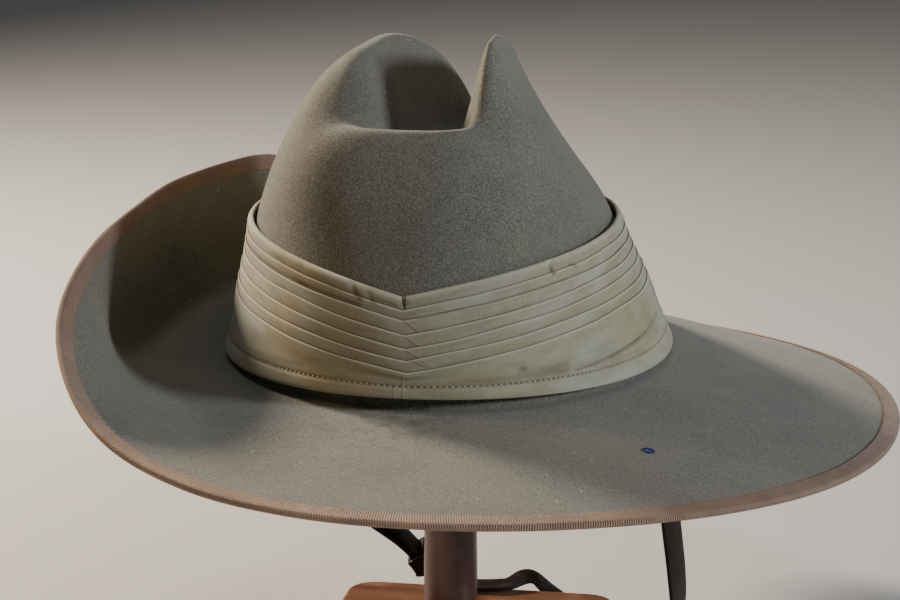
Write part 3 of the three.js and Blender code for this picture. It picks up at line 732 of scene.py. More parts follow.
def felt_material():
    material, tree, place, _ = start_material(
        "Felt", Roughness=0.95, Sheen_Weight=0.25, Sheen_Roughness=0.5)
    fibres = grouped(tree, nap, {"Vector": place, "Size": 0.62})
    colour = mixed(tree, fibres["Light"], (0.08, 0.078, 0.06, 1), (0.285, 0.273, 0.222, 1))
    worn_and_shaded = Stain(55, 0.52, 0.35, 0.3, (0.265, 0.235, 0.175, 1))
    grimed_and_shaded = Stain(24, 0.56, 0.25, 0.22, (0.085, 0.08, 0.065, 1))
    colour = stained(tree, colour, place, worn_and_shaded, grimed_and_shaded)
    # Painted shade on the brim under the front of the puggaree's hem, in uneven patches
    hem_shade = times(tree, near_spot(tree, place, (-2, -112, HAT_Z - 1), 34),
                   patches(tree, place, size=5, level=0.56, softness=0.14))
    colour = tinted(tree, colour, hem_shade, 0.6, (0.04, 0.036, 0.034, 1))
    for scale, least in ((150.0, 0.9), (420.0, 0.93)):
        lint = put(tree, "TexVoronoi", {"Vector": place, "Scale": scale}).outputs
        chosen = put(tree, "SeparateColor", {0: lint["Color"]}).outputs[0]
        spots = times(tree, between(tree, lint["Distance"], 0.1, 0.05),
                      between(tree, chosen, least, least + 0.02))
        colour = tinted(tree, colour, spots, 0.75, (0.62, 0.6, 0.55, 1))
    return painted(material, colour, bumps=(fibres["Height"], 0.35, 0.8))


def ribbon_material():
    material, tree, place, unrolled = start_material("Ribbed ribbon", Roughness=0.8, Sheen_Weight=0.2)
    turns = 2 * math.pi / (RIB_PITCH * MM)
    ribs = maths(tree, "SINE", times(tree, axes(tree, unrolled)[0], turns))
    fibres = grouped(tree, nap, {"Vector": place, "Size": 0.5})
    # The ribs' colour: painted shade in their grooves and painted light on their crests
    shade = between(tree, ribs, -1.0, 0.6)
    colour = mixed(tree, shade, (0.22, 0.115, 0.066, 1), (0.53, 0.325, 0.2, 1))
    faded = Stain(60, 0.5, 0.3, 0.3, (0.58, 0.43, 0.33, 1))
    soiled = Stain(12, 0.5, 0.25, 0.5, (0.22, 0.13, 0.088, 1))
    colour = stained(tree, colour, place, faded, soiled)
    fuzz = between(tree, fibres["Light"], 0.3, 1.0, 0.0, 0.22)
    colour = mixed(tree, fuzz, colour, (0.62, 0.48, 0.38, 1))
    parts = axes(tree, place)
    # Painted shade on the ribbon of the turned-up brim, darker the higher it rises
    upwards = between(tree, parts[2], (HAT_Z + 15) * MM, (HAT_Z + 75) * MM, 0.0, 0.6)
    colour = mixed(tree, upwards, colour, (0.15, 0.07, 0.048, 1))
    # Painted shade on the ribbon towards the right side, where the crown's shadow falls
    rightwards = between(tree, parts[0], 95 * MM, 160 * MM, 0.0, 0.35)
    colour = mixed(tree, rightwards, colour, (0.22, 0.15, 0.12, 1))
    height = maths(tree, "MULTIPLY_ADD", fibres["Height"], 0.5, ribs)
    return painted(material, colour, bumps=(height, 0.2, 1.0))


def cloth_material(pressed, grimed_and_shaded):
    material, tree, place, unrolled = start_material(
        "Puggaree cloth", Roughness=0.9, Sheen_Weight=0.12)
    threads = grouped(tree, weave, {"Vector": unrolled, "Thread": 0.5})
    thread_light = between(tree, threads["Slub"], 0.36, 0.64)
    colour = mixed(tree, thread_light, (0.315, 0.29, 0.195, 1), (0.43, 0.4, 0.29, 1))
    run = stretched(tree, unrolled, (0.35, 1, 1))
    washed = Stain(15, 0.5, 0.3, 0.7, (0.5, 0.495, 0.45, 1))
    soiled = Stain(8, 0.54, 0.22, 0.5, (0.225, 0.197, 0.105, 1))
    yellowed = Stain(38, 0.5, 0.25, 0.4, (0.39, 0.325, 0.155, 1))
    colour = stained(tree, stained(tree, colour, run, washed, soiled), place, yellowed)
    cloth_shading = put(tree, "Attribute", attribute_name="cloth_shading").outputs["Fac"]
    uneven = ranged(tree, patches(tree, run, size=5, level=0.5, softness=0.5), 0.45, 0.9)
    # Painted shade in the creases, in the gaps above the folds, under the hem and on the inner side,
    # uneven along the band
    crease = between(tree, cloth_shading, -0.15, -0.9)
    colour = tinted(tree, colour, crease, uneven, (0.09, 0.075, 0.045, 1))
    # Painted highlight on the lit fold edges, the top of the roll and the foot of the hem
    rubbed_and_highlight = between(tree, cloth_shading, 0.15, 1.0, 0.0, 0.85)
    colour = mixed(tree, rubbed_and_highlight, colour, (0.6, 0.56, 0.44, 1))
    broken = ranged(tree, patches(tree, run, size=4, level=0.5, softness=0.6), 0.35, 0.95)
    # Dark lines: painted shade in the gap above a fold and in the tack dents, and darker lines along the
    # hem
    for start, end, width, strength in grimed_and_shaded:
        shade = times(tree, near_line(tree, unrolled, start, end, width), strength)
        colour = tinted(tree, colour, shade, broken, (0.13, 0.095, 0.05, 1))
    height = threads["Height"]
    for start, end in pressed:
        mask = near_line(tree, unrolled, start, end, PRESSED_WIDTH)
        # A little painted shade along each pressed line
        colour = tinted(tree, colour, mask, 0.2, (0.2, 0.17, 0.11, 1))
        height = maths(tree, "MULTIPLY_ADD", mask, 2.0, height)
    return painted(material, colour, bumps=(height, 0.08, 0.9))


def thread_material(name, dark, light):
    material, tree, place, _ = start_material(name, Roughness=0.8)
    twist = patches(tree, place, size=0.6, level=0.5, softness=0.3)
    return painted(material, mixed(tree, twist, dark, light))


def leather_material(name, dark, light):
    material, tree, place, _ = start_material(name, Roughness=0.5, Specular_IOR_Level=0.25)
    pores = put(tree, "TexVoronoi", {"Vector": place, "Scale": 1400.0, "Randomness": 1.0})
    rubbed_and_highlight = patches(tree, place, size=9, level=0.55, softness=0.3)
    return painted(material, tinted(tree, dark, rubbed_and_highlight, 0.6, light),
                   ranged(tree, rubbed_and_highlight, 0.38, 0.62), (pores.outputs["Distance"], 0.12, 0.5))


def base_material():
    material, tree, place, _ = start_material("Varnished board", Coat_Weight=0.25, Coat_Roughness=0.25)
    streaks = grouped(tree, grain, {"Vector": place})
    rings = between(tree, streaks["Rings"], 0.36, 0.66)
    colour = mixed(tree, rings, (0.085, 0.031, 0.014, 1), (0.2, 0.083, 0.038, 1))
    pores = between(tree, streaks["Pores"], 0.6, 0.72)
    colour = tinted(tree, colour, pores, 0.5, (0.09, 0.04, 0.02, 1))
    worn_and_shaded = patches(tree, place, size=20, level=0.6, softness=0.2)
    colour = tinted(tree, colour, worn_and_shaded, 0.4, (0.42, 0.25, 0.155, 1))
    return painted(material, colour, ranged(tree, worn_and_shaded, 0.4, 0.65),
                   (streaks["Pores"], 0.08, 0.4))


def post_material():
    material, tree, place, _ = start_material("Dark post", Coat_Weight=0.15)
    upright = put(tree, "Mapping", {"Vector": place, "Rotation": (0, math.pi / 2, 0)})
    streaks = grouped(tree, grain, {"Vector": upright.outputs[0]})
    rings = between(tree, streaks["Rings"], 0.36, 0.64)
    colour = mixed(tree, rings, (0.045, 0.015, 0.012, 1), (0.15, 0.055, 0.04, 1))
    colour = stained(tree, colour, place, Stain(11, 0.54, 0.14, 0.6, (0.1, 0.062, 0.057, 1)))
    flake = near_spot(tree, place, (-9, -9, HAT_Z - 22), 24)
    flake = maths(tree, "MULTIPLY_ADD", patches(tree, place, size=9, level=0.5, softness=0.6), 0.6, flake)
    flake = between(tree, flake, 0.88, 0.96)
    colour = mixed(tree, flake, colour, (0.4, 0.27, 0.22, 1))
    height = maths(tree, "SUBTRACT", streaks["Rings"], flake)
    return painted(material, colour, ranged(tree, flake, 0.42, 0.8), (height, 0.25, 0.6))


def metal_material(name, colour, worn_colour, metallic):
    material, tree, place, _ = start_material(name, Metallic=metallic)
    worn_and_shaded = patches(tree, place, size=1.6, level=0.55, softness=0.15)
    return painted(material, mixed(tree, worn_and_shaded, colour, worn_colour),
                   ranged(tree, worn_and_shaded, 0.35, 0.6))


felt = felt_material()
ribbon = ribbon_material()
pale_thread = thread_material("Pale thread", (0.36, 0.3, 0.19, 1), (0.62, 0.55, 0.38, 1))
dark_thread = thread_material("Dark thread", (0.02, 0.017, 0.015, 1), (0.05, 0.042, 0.035, 1))
strap_leather = leather_material("Strap leather", (0.013, 0.007, 0.006, 1), (0.032, 0.018, 0.014, 1))
slide_leather = leather_material("Slide leather", (0.012, 0.008, 0.007, 1), (0.032, 0.02, 0.016, 1))
varnished = base_material()
dark_wood = post_material()
blue_enamel = metal_material("Blue enamel", (0.035, 0.05, 0.22, 1), (0.12, 0.13, 0.2, 1), 0.3)
dull_metal = metal_material("Dull metal", (0.25, 0.22, 0.19, 1), (0.12, 0.1, 0.085, 1), 0.85)


# Pieces


def make_felt():
    """Crown and brim: one skin from the dent's floor to the brim's edge, given its wall."""
    angles = columns(FELT_COLUMNS)
    crown = Crown(angles)
    floor = crown.points(LAST_RING)
    crease = floor.copy()
    crease[:, 0] = floor[:, 0].mean()
    rises = np.linspace(LAST_RING, 0, CROWN_ROWS)
    loops = [crease, *(crown.points(number) for number in rises), *brim_rows(angles)[1:]]
    for row, loop in enumerate(loops):
        for point in loop:
            swell = sum(height * ripple(point, size, seed) for height, size, seed in BRIM_WAVES)
            point[2] += swell if row > CROWN_ROWS else 0.0
    bm = bmesh.new()
    loft(bm, [raised(loop) for loop in loops])
    bmesh.ops.remove_doubles(bm, verts=bm.verts, dist=0.01 * MM)
    peaks = [vert for vert in bm.verts if vert.co.z > (HAT_Z + ROUNDED_FROM * CROWN_HEIGHT) * MM]
    for _ in range(ROUNDED_TIMES):
        bmesh.ops.smooth_vert(bm, verts=peaks, factor=0.5, use_axis_x=True, use_axis_y=True,
                              use_axis_z=True)
    bmesh.ops.recalc_face_normals(bm, faces=bm.faces)
    edge_face = max(bm.faces, key=lambda face: face.calc_center_median().x)
    if edge_face.normal.z < 0:
        bmesh.ops.reverse_faces(bm, faces=bm.faces)
    shown = piece(bm, "felt_crown_and_brim", felt, "felt", "felt_body")
    wall = shown.modifiers.new("Wall", "SOLIDIFY")
    wall.thickness = FELT * MM
    wall.offset = -1
    wall.use_even_offset = True
    wall.thickness_clamp = 1.5
    return shown


def make_binding():
    """Ribbon wrapped over the brim's edge, with the stitches pulling its inner edge in."""
    angles = columns(BINDING_COLUMNS)
    rows = brim_rows(angles)
    edge, before = rows[-1], rows[-2]
    outwards = unit(edge - before)
    upwards = unit(np.cross(outwards, np.roll(edge, -1, axis=0) - np.roll(edge, 1, axis=0)))
    around = lengths_round(edge)
    cover = RIBBON_LIES + RIBBON
    middle = -FELT / 2
    half = FELT / 2 + cover
    bow = [(half * math.sin(turn), middle + half * math.cos(turn))
           for turn in np.linspace(0, math.pi, 9)]
    over = [(-BINDING_WIDTH * share, cover) for share in (1, 0.93, 0.8, 0.6, 0.4, 0.2)]
    under = [(out, 2 * middle - rise) for out, rise in reversed(over)]
    lip = RIBBON_LIES / 2
    lining = [(-BINDING_WIDTH, 2 * middle - lip), (0, 2 * middle - lip), (lip, middle), (0, lip),
              (-BINDING_WIDTH, lip)]
    section = over + bow + under + lining
    turns = 2 * math.pi * around[:-1] / SCALLOP_PITCH
    loops = []
    for out, rise in section:
        nearness = smooth((-out / BINDING_WIDTH - SCALLOP_STARTS) / (1 - SCALLOP_STARTS))
        pull = nearness * (0.5 - 0.5 * np.cos(turns))[:, None]
        puff = SCALLOP_PUFF * pull * math.copysign(1, rise - middle)
        shift = -SCALLOP_DEPTH * pull
        loops.append(edge + outwards * (out + shift) + upwards * (rise + puff))
    along = way_along([math.dist(a, b) for a, b in zip(section, section[1:] + section[:1])])
    bm = bmesh.new()
    loft(bm, [raised(loop) for loop in loops + loops[:1]], around, along, closes=True)
    return closed_piece(bm, "brim_ribbon", ribbon, "binding", "brim_binding")


class Puggaree:
    """The band's smooth outer face, and the cloth's sections on it."""

    def __init__(self, angles):
        c, s = np.cos(angles), np.sin(angles)
        self.angles = angles
        self.crown = Crown(angles)
        self.side = c * c
        to_end = np.abs(np.sin(angles - math.radians(PUGGAREE_V_ANGLE)))
        from_end = np.arccos(np.clip(to_end, 0, 1)) / (math.pi / 2)
        self.near = (1 - from_end) ** 2
        side_top = np.where(c < 0, PUGGAREE_TOP_LEFT, PUGGAREE_TOP_RIGHT)
        end_top = np.where(s < 0, PUGGAREE_TOP_FRONT, PUGGAREE_TOP_BACK)
        self.top = mix(side_top, end_top, self.near)
        self.foot = mix(PUGGAREE_FOOT_FRONT, PUGGAREE_FOOT_SIDE, self.side)
        self.stand_off = np.where(c < 0, PUGGAREE_STAND_OFF_LEFT, PUGGAREE_STAND_OFF_RIGHT)

    def points(self, drop, proud):
        """Points at a drop from the top, as a share of the height, and proud of the smooth face."""
        heights = mix(self.top, self.foot, drop)
        numbers = self.crown.numbers_at(heights)
        out = self.crown.normals(numbers)
        out[:, 2] = 0
        out = unit(out)
        reach = np.clip(drop, 0, 1)
        off = PUGGAREE_LAY + PUGGAREE_WALL + PUGGAREE_FLARE * reach**3 + proud
        off = off + self.stand_off * (1 - reach) ** 2 * self.side
        points = self.crown.points(numbers) + out * off[:, None]
        points[:, 2] = heights
        return points

    def section(self, line, steps, inwards=0):
        """Loops of a section that follows a line, which is given as a drop for each column. inwards
        is how far its outer points are pulled in."""
        height = self.top - self.foot
        return [self.points(line + below / height,
                            proud - inwards * smooth((proud + ROLL_DEPTH) / ROLL_DEPTH))
                for below, proud, _ in steps]


def pleat_line(band, pleat):
    return mix(np.where(np.cos(band.angles) < 0, pleat.left, pleat.right), pleat.front, band.near)


def hump(off, height, width):
    """A smooth rise of a height and a width, at places that are off its middle."""
    return height * np.exp(-(off / width) ** 2)


def swell_height(angles, drop, height):
    """How far the soft creases at the right lift the cloth."""
    lift = np.zeros(len(angles))
    for (start, start_drop), (end, end_drop) in SWELLS:
        share = (np.degrees(angles) - start) / (end - start)
        off = (drop - mix(start_drop, end_drop, share)) * height
        along = np.where((share > 0) & (share < 1), np.sin(math.pi * np.clip(share, 0, 1)), 0)
        lift += np.sqrt(along) * sum(hump(off - at, rise, width) for at, rise, width in SWELL_SECTION)
    return lift


def pull_depth(angles):
    """How far the tacks pull the roll in."""
    return sum(hump((np.degrees(angles) - angle + 180) % 360 - 180, pull, PULL_WIDTH)
               for angle, pull in PULLS)


def cloth_rows(band):
    """The band's loops from inside the roll, down its face and up its inner side, with the painted
    highlight and shade at each loop, and the loops' numbers at the nine marks."""
    angles = band.angles
    height = band.top - band.foot
    level = np.zeros(len(angles))
    loops, cloth_shading, marks = [], [], []

    def add_section(line, steps, mark, inwards=0):
        marks.append(len(loops) + mark)
        loops.extend(band.section(line, steps, inwards))
        cloth_shading.extend(worn_and_shaded for _, _, worn_and_shaded in steps)

    def add_row(drop, proud, worn_and_shaded=0):
        loops.append(band.points(drop, proud + level))
        cloth_shading.append(worn_and_shaded)

    add_section(level, ROLL, ROLL_TOP, pull_depth(angles) - ROLL_WANDER * wander(angles, 15, seed=1))
    lines = [pleat_line(band, pleat) + LINE_WANDER * wander(angles, 30, seed=2 + i) / height
             for i, pleat in enumerate(PLEATS)]
    for i, line in enumerate(lines):
        for share in PLEAT_ROWS if i else ():
            proud = FOLD * (1 - share) + FOLD_SWELL * math.sin(math.pi * share)
            add_row(mix(lines[i - 1], line, share), proud)
        add_section(line, FOLD_EDGE, FOLD_LIP)
    hem = level + HEM_LINE
    for share in np.linspace(0, 1, PLAIN_ROWS):
        drop = mix(lines[-1] + PLAIN_STARTS / height, hem - PLAIN_ENDS / height, share)
        # The creases fade out towards the lowest pleat and the hem
        free = smooth(share / 0.25) * smooth((1 - share) / 0.2)
        swell = swell_height(angles, drop, height) + PLAIN_WANDER * wander(angles, 30, seed=20 + share)
        add_row(drop, mix(PLAIN_PROUD_TOP, PLAIN_PROUD_FOOT, smooth(share / 0.7)) + free * swell)
    add_section(hem, HEM_GROOVE, GROOVE_FLOOR)
    add_section(level + 1, HEM_FOOT, FOOT_EDGE)
    # The band's inner side gets the darkest painted shade
    for drop in INNER_ROWS:
        add_row(level + drop, -PUGGAREE_WALL, worn_and_shaded=-1)
    return loops, cloth_shading, marks


def make_puggaree():
    angles = columns(PUGGAREE_COLUMNS) + math.radians(PUGGAREE_V_ANGLE)
    band = Puggaree(angles)
    loops, cloth_shading, marks = cloth_rows(band)
    level = np.zeros(len(angles))
    around = lengths_round(band.points(level + HEM_LINE, level))
    along = way_along([np.linalg.norm(b - a, axis=-1).mean()
                       for a, b in zip(loops, loops[1:] + loops[:1])])

    def spot(angle, mark):
        turn = (angle + 90 - PUGGAREE_V_ANGLE) % 360
        way = np.interp(turn, np.linspace(0, 360, PUGGAREE_COLUMNS + 1), around)
        return Vector((way, np.interp(mark, range(len(marks)), along[marks]), 0)) * MM

    pressed = [(spot(*start), spot(*end)) for start, end in PRESSED]
    grimed_and_shaded = [(spot(*start), spot(*end), *rest) for start, end, *rest in SHADE_AND_GRIME]
    bm = bmesh.new()
    layer = bm.verts.layers.float.new("cloth_shading")
    rings = loft(bm, [raised(loop) for loop in loops + loops[:1]], around, along, closes=True)
    for ring, worn_and_shaded in zip(rings, cloth_shading):
        for vert in ring:
            vert[layer] = worn_and_shaded
    cloth = cloth_material(pressed, grimed_and_shaded)
    return closed_piece(bm, "puggaree_band", cloth, "puggaree_cloth", "puggaree")


def make_hem_stitches():
    """Running stitches along the hem line, each a short thick thread that dips in at its ends."""
    level = np.zeros(STITCH_COLUMNS)
    line = Puggaree(columns(STITCH_COLUMNS)).points(level + HEM_LINE, level - STITCH_SINK)
    way = lengths_round(line)
    count = int(way[-1] / STITCH_PITCH)
    bm = bmesh.new()
    looped = np.vstack([line, line[:1]])
    for i in range(count):
        at = way[-1] * (i + 0.5) / count
        start, end = (np.array([np.interp(at + half, way, looped[:, axis]) for axis in range(3)])
                      for half in (-STITCH_LENGTH / 2, STITCH_LENGTH / 2))
        run = Vector(end - start)
        turn = Vector((1, 0, 0)).rotation_difference(run).to_matrix().to_4x4()
        middle = Vector(raised((start + end) / 2)) * MM
        size = Matrix.Diagonal((run.length / 2 * MM, STITCH_THICKNESS * MM, STITCH_THICKNESS * MM, 1))
        bmesh.ops.create_uvsphere(bm, u_segments=6, v_segments=5, radius=1,
                                  matrix=Matrix.Translation(middle) @ turn @ size)
    return closed_piece(bm, "hem_stitches", pale_thread, "puggaree_cloth")


def sewn(bm, route, rise):
    """A thread on the roll along a route of (angle, drop) points, clear of it by a rise."""
    marks = np.linspace(0, len(route) - 1, 6 * len(route))
    angles = np.radians(np.interp(marks, range(len(route)), [angle for angle, _ in route]))
    drops = np.interp(marks, range(len(route)), [drop for _, drop in route])
    band = Puggaree(angles)
    below = drops * (band.top - band.foot)
    shown = ROLL[ROLL_TOP:]
    face = np.interp(below, [step[0] for step in shown], [step[1] for step in shown])
    centres = raised(band.points(drops, face + rise - pull_depth(angles)))
    runs = np.gradient(centres, axis=0)
    loops = []
    for centre, run in zip(centres, runs):
        run = Vector(run).normalized()
        side = run.orthogonal().normalized()
        loops.append([Vector(centre) + Quaternion(run, turn) @ side * TACK_THICKNESS
                      for turn in np.arange(6) * math.pi / 3])
    capped(bm, loft(bm, loops))


def make_tacks():
    """The dark threads that hold the roll at the front, and a pale one that has come loose."""
    bm = bmesh.new()
    for route in TACKS:
        sewn(bm, route, TACK_RISE)
    tacks = closed_piece(bm, "roll_tacks", dark_thread, "puggaree_cloth")
    bm = bmesh.new()
    sewn(bm, LOOSE_THREAD, LOOSE_RISE)
    return [tacks, closed_piece(bm, "loose_thread", pale_thread, "puggaree_cloth")]


def make_eyelet():
    """A rolled metal ring through the brim."""
    top = GAP + EYELET_METAL
    bottom = -FELT - GAP - EYELET_METAL
    rolled = [(EYELET_BORE + 0.15, top - 0.1), (EYELET_BORE + 0.5, top), (EYELET_FLANGE - 0.6, top),
              (EYELET_FLANGE - 0.1, top - 0.15), (EYELET_FLANGE, top - 0.35)]
    outline = [(EYELET_BORE, bottom), (EYELET_FLANGE, bottom), (EYELET_FLANGE, bottom + EYELET_METAL),
               (EYELET_BARREL, bottom + EYELET_METAL), (EYELET_BARREL, top - EYELET_METAL),
               (EYELET_FLANGE - 0.1, top - EYELET_METAL), *reversed(rolled),
               (EYELET_BORE, top - 0.4), (EYELET_BORE, bottom)]
    bm = bmesh.new()
    spun(bm, outline, 32)
    place, normal = brim_spot(math.radians(EYELET_ANGLE), EYELET_PLACE)
    seated(bm, raised(place), normal)
    return closed_piece(bm, "blue_eyelet_ring", blue_enamel, "blue_eyelet", "brim_eyelet")


# Chin strap


Anchor = namedtuple("Anchor", "place normal strap_at")


def make_anchor(angle):
    """Where the strap is riveted inside the crown, and its centre line up the wall there."""
    crown = Crown(np.array([angle]))

    def wall_at(height):
        return Vector(crown.points(crown.numbers_at(height))[0])

    normal = Vector(crown.normals(crown.numbers_at(RIVET_HEIGHT))[0])
    depth = FELT + STRAP_CLEAR + STRAP / 2
    return Anchor(wall_at(RIVET_HEIGHT), normal, lambda height: wall_at(height) - normal * depth)


def strap_nodes(left, right):
    """The strap's route: (point, twist in degrees), from its left anchor round to its right one."""
    wall_turn = math.degrees(math.atan2(
        CROWN_HALF_WIDTH * math.sin(math.radians(ANCHOR_ANGLE)),
        CROWN_HALF_LENGTH * math.cos(math.radians(ANCHOR_ANGLE))))
    lie = STRAP / 2 + 3 * GAP
    size = base_high - base_low
    back = [(Vector((size.x * across, size.y / 2 + STRAP_WIDTH * beyond,
                     lie - HAT_Z + size.z * level)), turn)
            for across, beyond, level, turn in BACK_RUN]
    start, end = left.strap_at(GAP), right.strap_at(GAP)
    landing, rising = back[0][0], back[-1][0]
    nodes = [(left.strap_at(height), wall_turn) for height in (STRAP_TOP, RIVET_HEIGHT, GAP)]
    nodes += [(start.lerp(landing, share) + Vector((STAND_HEIGHT * bow, 0, 0)), 0)
              for share, bow in LEFT_RUN]
    nodes += back
    nodes += [(rising.lerp(end, share) + Vector((STAND_HEIGHT * bow, 0, 0)), turn)
              for share, bow, turn in RIGHT_RUN]
    return nodes + [(right.strap_at(height), wall_turn) for height in (GAP, RIVET_HEIGHT, STRAP_TOP)]


class Strap:
    """A flat strap's centre line through its nodes, with its width and face directions."""

    def __init__(self, nodes):
        points = np.array([point for point, _ in nodes])
        self.twists = np.array([turn for _, turn in nodes])
        self.points = np.vstack([2 * points[0] - points[1], points, 2 * points[-1] - points[-2]])
        self.last = len(nodes) - 1
        fine = np.linspace(0, self.last, 60 * self.last + 1)
        self.fine = fine
        self.way = way_along(np.linalg.norm(np.diff(self.places(fine), axis=0), axis=-1))

    def places(self, numbers):
        first = np.clip(np.floor(numbers).astype(int), 0, self.last - 1)
        return curve_points(*(self.points[first + i] for i in range(4)), numbers - first)

    def number_at(self, way):
        return float(np.interp(way, self.way, self.fine))

    def frame(self, way):
        """Place, direction, width direction and face direction at a length along the strap."""
        number = self.number_at(way)
        near = np.clip([number - 0.01, number, number + 0.01], 0, self.last)
        before, place, after = (Vector(point) for point in self.places(near))
        run = (after - before).normalized()
        flat = (Vector((0, 1, 0)) - run * run.y).normalized()
        twist = math.radians(np.interp(number, np.arange(self.last + 1), self.twists))
        side = Quaternion(run, twist) @ flat
        return place, side, run.cross(side)

    def way_to(self, number):
        return float(np.interp(number, self.fine, self.way))


def rounded_section(width, thickness, edge):
    """A rectangle with rounded corners, as (across, through) points."""
    section = []
    for corner, (across, through) in enumerate([(1, 1), (-1, 1), (-1, -1), (1, -1)]):
        for step in range(4):
            turn = math.pi / 2 * (corner + step / 3)
            section.append((across * (width / 2 - edge) + edge * math.cos(turn),
                            through * (thickness / 2 - edge) + edge * math.sin(turn)))
    return section


def laid(section, strap_frame, off=0.0):
    place, side, face = strap_frame
    return np.array([place + side * across + face * (through + off) for across, through in section])


def capped(bm, rings):
    for ring in (rings[0], rings[-1]):
        bmesh.ops.contextual_create(bm, geom=ring)


anchors = [make_anchor(math.pi - math.radians(ANCHOR_ANGLE)), make_anchor(math.radians(ANCHOR_ANGLE))]
strap = Strap(strap_nodes(*anchors))
landing_way = strap.way_to(3 + len(LEFT_RUN))


def make_strap():
    section = rounded_section(STRAP_WIDTH, STRAP, STRAP_EDGE)
    ways = np.linspace(0, strap.way[-1], int(strap.way[-1] / 1.8))
    bm = bmesh.new()
    capped(bm, loft(bm, [raised(laid(section, strap.frame(way))) for way in ways]))
    return closed_piece(bm, "chin_strap_leather", strap_leather, "strap_leather", "chin_strap")


def make_tail():
    """The doubled end: it leaves the slide on the strap's outer face and spreads away from it."""
    section = rounded_section(STRAP_WIDTH, STRAP, STRAP_EDGE)
    loops = []
    for way in np.linspace(0, TAIL_LENGTH, 36):
        spread = TAIL_SPREAD * smooth((way - 1.3 * SLIDE_LENGTH) / (TAIL_LENGTH / 2))
        strap_frame = strap.frame(landing_way - SLIDE_ABOVE + GAP - way)
        tip = 1 - 0.5 * smooth((way - TAIL_LENGTH + TAIL_TIP) / TAIL_TIP) ** 2
        narrowed = [(across * tip, through) for across, through in section]
        loops.append(raised(laid(narrowed, strap_frame, -STRAP - SLIDE_CLEAR - spread)))
    bm = bmesh.new()
    capped(bm, loft(bm, loops))
    return closed_piece(bm, "strap_doubled_end", strap_leather, "strap_leather", "strap_tail")


def make_slide():
    """A leather loop round both layers of the strap."""
    off = -(STRAP + SLIDE_CLEAR) / 2
    width = STRAP_WIDTH + 2 * SLIDE_CLEAR
    thickness = 2 * STRAP + 3 * SLIDE_CLEAR
    inner = rounded_section(width, thickness, SLIDE_EDGE - 1)
    outer, soft = (rounded_section(width + wall, thickness + wall, SLIDE_EDGE)
                   for wall in (2 * SLIDE_WALL, 2 * SLIDE_WALL - SLIDE_SOFT))
    first, last = landing_way - SLIDE_ABOVE, landing_way - SLIDE_ABOVE - SLIDE_LENGTH
    stations = [(inner, 0), (soft, 0), (outer, 0.05), (outer, 0.3), (outer, 0.7), (outer, 0.95),
                (soft, 1), (inner, 1), (inner, 0.5), (inner, 0)]
    loops = [raised(laid(section, strap.frame(mix(first, last, share)), off))
             for section, share in stations]
    bm = bmesh.new()
    loft(bm, loops, closes=True)
    return closed_piece(bm, "strap_keeper", slide_leather, "slide_leather", "strap_slide")


def make_rivet(anchor, side):
    top = -FELT - STRAP_CLEAR - STRAP - GAP
    outline = [(0, top - RIVET_HEAD), (RIVET_HEAD_HALF * 0.5, top - RIVET_HEAD * 0.95),
               (RIVET_HEAD_HALF * 0.85, top - RIVET_HEAD * 0.65), (RIVET_HEAD_HALF, top - 0.2),
               (RIVET_HEAD_HALF - 0.2, top), (RIVET_SHANK_HALF, top), (RIVET_SHANK_HALF, -GAP),
               (0, -GAP)]
    bm = bmesh.new()
    spun(bm, outline, 28)
    seated(bm, raised(np.array(anchor.place)), anchor.normal)
    return closed_piece(bm, f"rivet_{side}", dull_metal, "rivet_metal", f"strap_rivet_{side}")


# Stand


def make_base():
    size = (base_high - base_low) * MM
    middle = (base_high + base_low) / 2 * MM
    bm = bmesh.new()
    bmesh.ops.create_cube(bm, size=1, matrix=Matrix.Translation(middle) @ Matrix.Diagonal((*size, 1)))
    for upright, offset, segments in ((True, BASE_CORNER, 10), (False, BASE_EDGE, 4)):
        edges = [edge for edge in bm.edges
                 if (abs(edge.verts[0].co.z - edge.verts[1].co.z) > size.z / 2) == upright]
        bmesh.ops.bevel(bm, geom=edges, offset=offset * MM, offset_type="OFFSET", affect="EDGES",
                        segments=segments, profile=0.5, material=-1)
    shown = closed_piece(bm, "stand_board", varnished, "base_wood", "stand_base")
    shown.data.set_sharp_from_angle(angle=math.radians(40))
    return shown


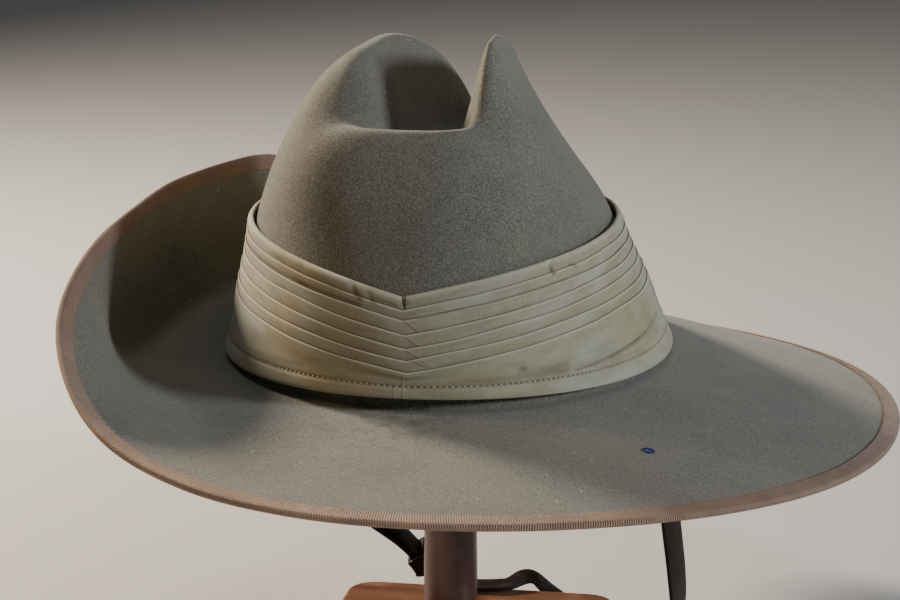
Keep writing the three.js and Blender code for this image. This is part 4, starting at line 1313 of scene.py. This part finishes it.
def make_post():
    foot, top = post_low.z, post_high.z
    head = post_high.x
    outline = [(0, foot), (POST_HALF - 0.5, foot), (POST_HALF, foot + 0.5)]
    outline += [(POST_HALF + POST_WEAR * ripple((0, 0, z), 17, 5), z)
                for z in np.linspace(foot + 3, top - HEAD_THICKNESS - 3, 30)]
    outline += [(POST_HALF, top - HEAD_THICKNESS), (head - 1, top - HEAD_THICKNESS),
                (head, top - HEAD_THICKNESS + 1)]
    for turn in np.linspace(0, math.pi / 2, 8):
        outline.append((head - HEAD_ROUNDING * (1 - math.cos(turn)),
                        top - HEAD_ROUNDING * (1 - math.sin(turn))))
    outline.append((0, top))
    bm = bmesh.new()
    spun(bm, outline, 64)
    shown = closed_piece(bm, "stand_turned_post", dark_wood, "post_wood", "stand_post")
    shown.data.set_sharp_from_angle(angle=math.radians(50))
    return shown


# Camera, light and floor


def make_camera():
    turn, rise = math.radians(VIEW_TURN), math.radians(VIEW_RISE)
    right = Vector((math.cos(turn), math.sin(turn), 0))
    back = Vector((math.sin(turn) * math.cos(rise), -math.cos(turn) * math.cos(rise), math.sin(rise)))
    up = back.cross(right)
    target = right * VIEW_RIGHT + up * VIEW_UP + Vector((0, 0, HAT_Z))
    camera = linked("Camera", bpy.data.cameras.new("Camera"))
    camera.data.lens = VIEW_LENS
    camera.data.sensor_width = 36
    camera.data.clip_start = 0.05
    camera.rotation_euler = Matrix((right, up, back)).transposed().to_euler()
    camera.location = (target + back * VIEW_DISTANCE) * MM
    bpy.context.scene.camera = camera


def make_light(name, place, size, power, colour):
    """A round light that points at the hat."""
    light = linked(name, bpy.data.lights.new(name, "AREA"))
    light.data.shape = "DISK"
    light.data.size = size
    light.data.energy = power
    light.data.color = colour
    light.location = place
    towards = Vector((0, 0, (HAT_Z + LIT_HEIGHT) * MM)) - Vector(place)
    light.rotation_euler = towards.to_track_quat("-Z", "Y").to_euler()


def make_floor():
    bm = bmesh.new()
    bmesh.ops.create_grid(bm, x_segments=1, y_segments=1, size=6)
    pale = start_material("Pale floor", Roughness=0.8, Base_Color=(0.62, 0.61, 0.6, 1))[0]
    floor = meshed(bm, "floor", pale)


def make_world():
    world = bpy.data.worlds.new("Studio")
    bpy.context.scene.world = world
    world.use_nodes = True
    sky = world.node_tree.nodes["Background"].inputs
    sky["Color"].default_value = SKY_COLOUR
    sky["Strength"].default_value = SKY_STRENGTH


make_camera()
make_world()
make_floor()
for light in LIGHTS:
    make_light(*light)

make_felt()
make_binding()
puggaree = make_puggaree()
sewing = [make_hem_stitches(), *make_tacks()]
make_eyelet()
make_strap()
make_tail()
make_slide()
for anchor, side in zip(anchors, ("left", "right")):
    make_rivet(anchor, side)
make_base()
make_post()
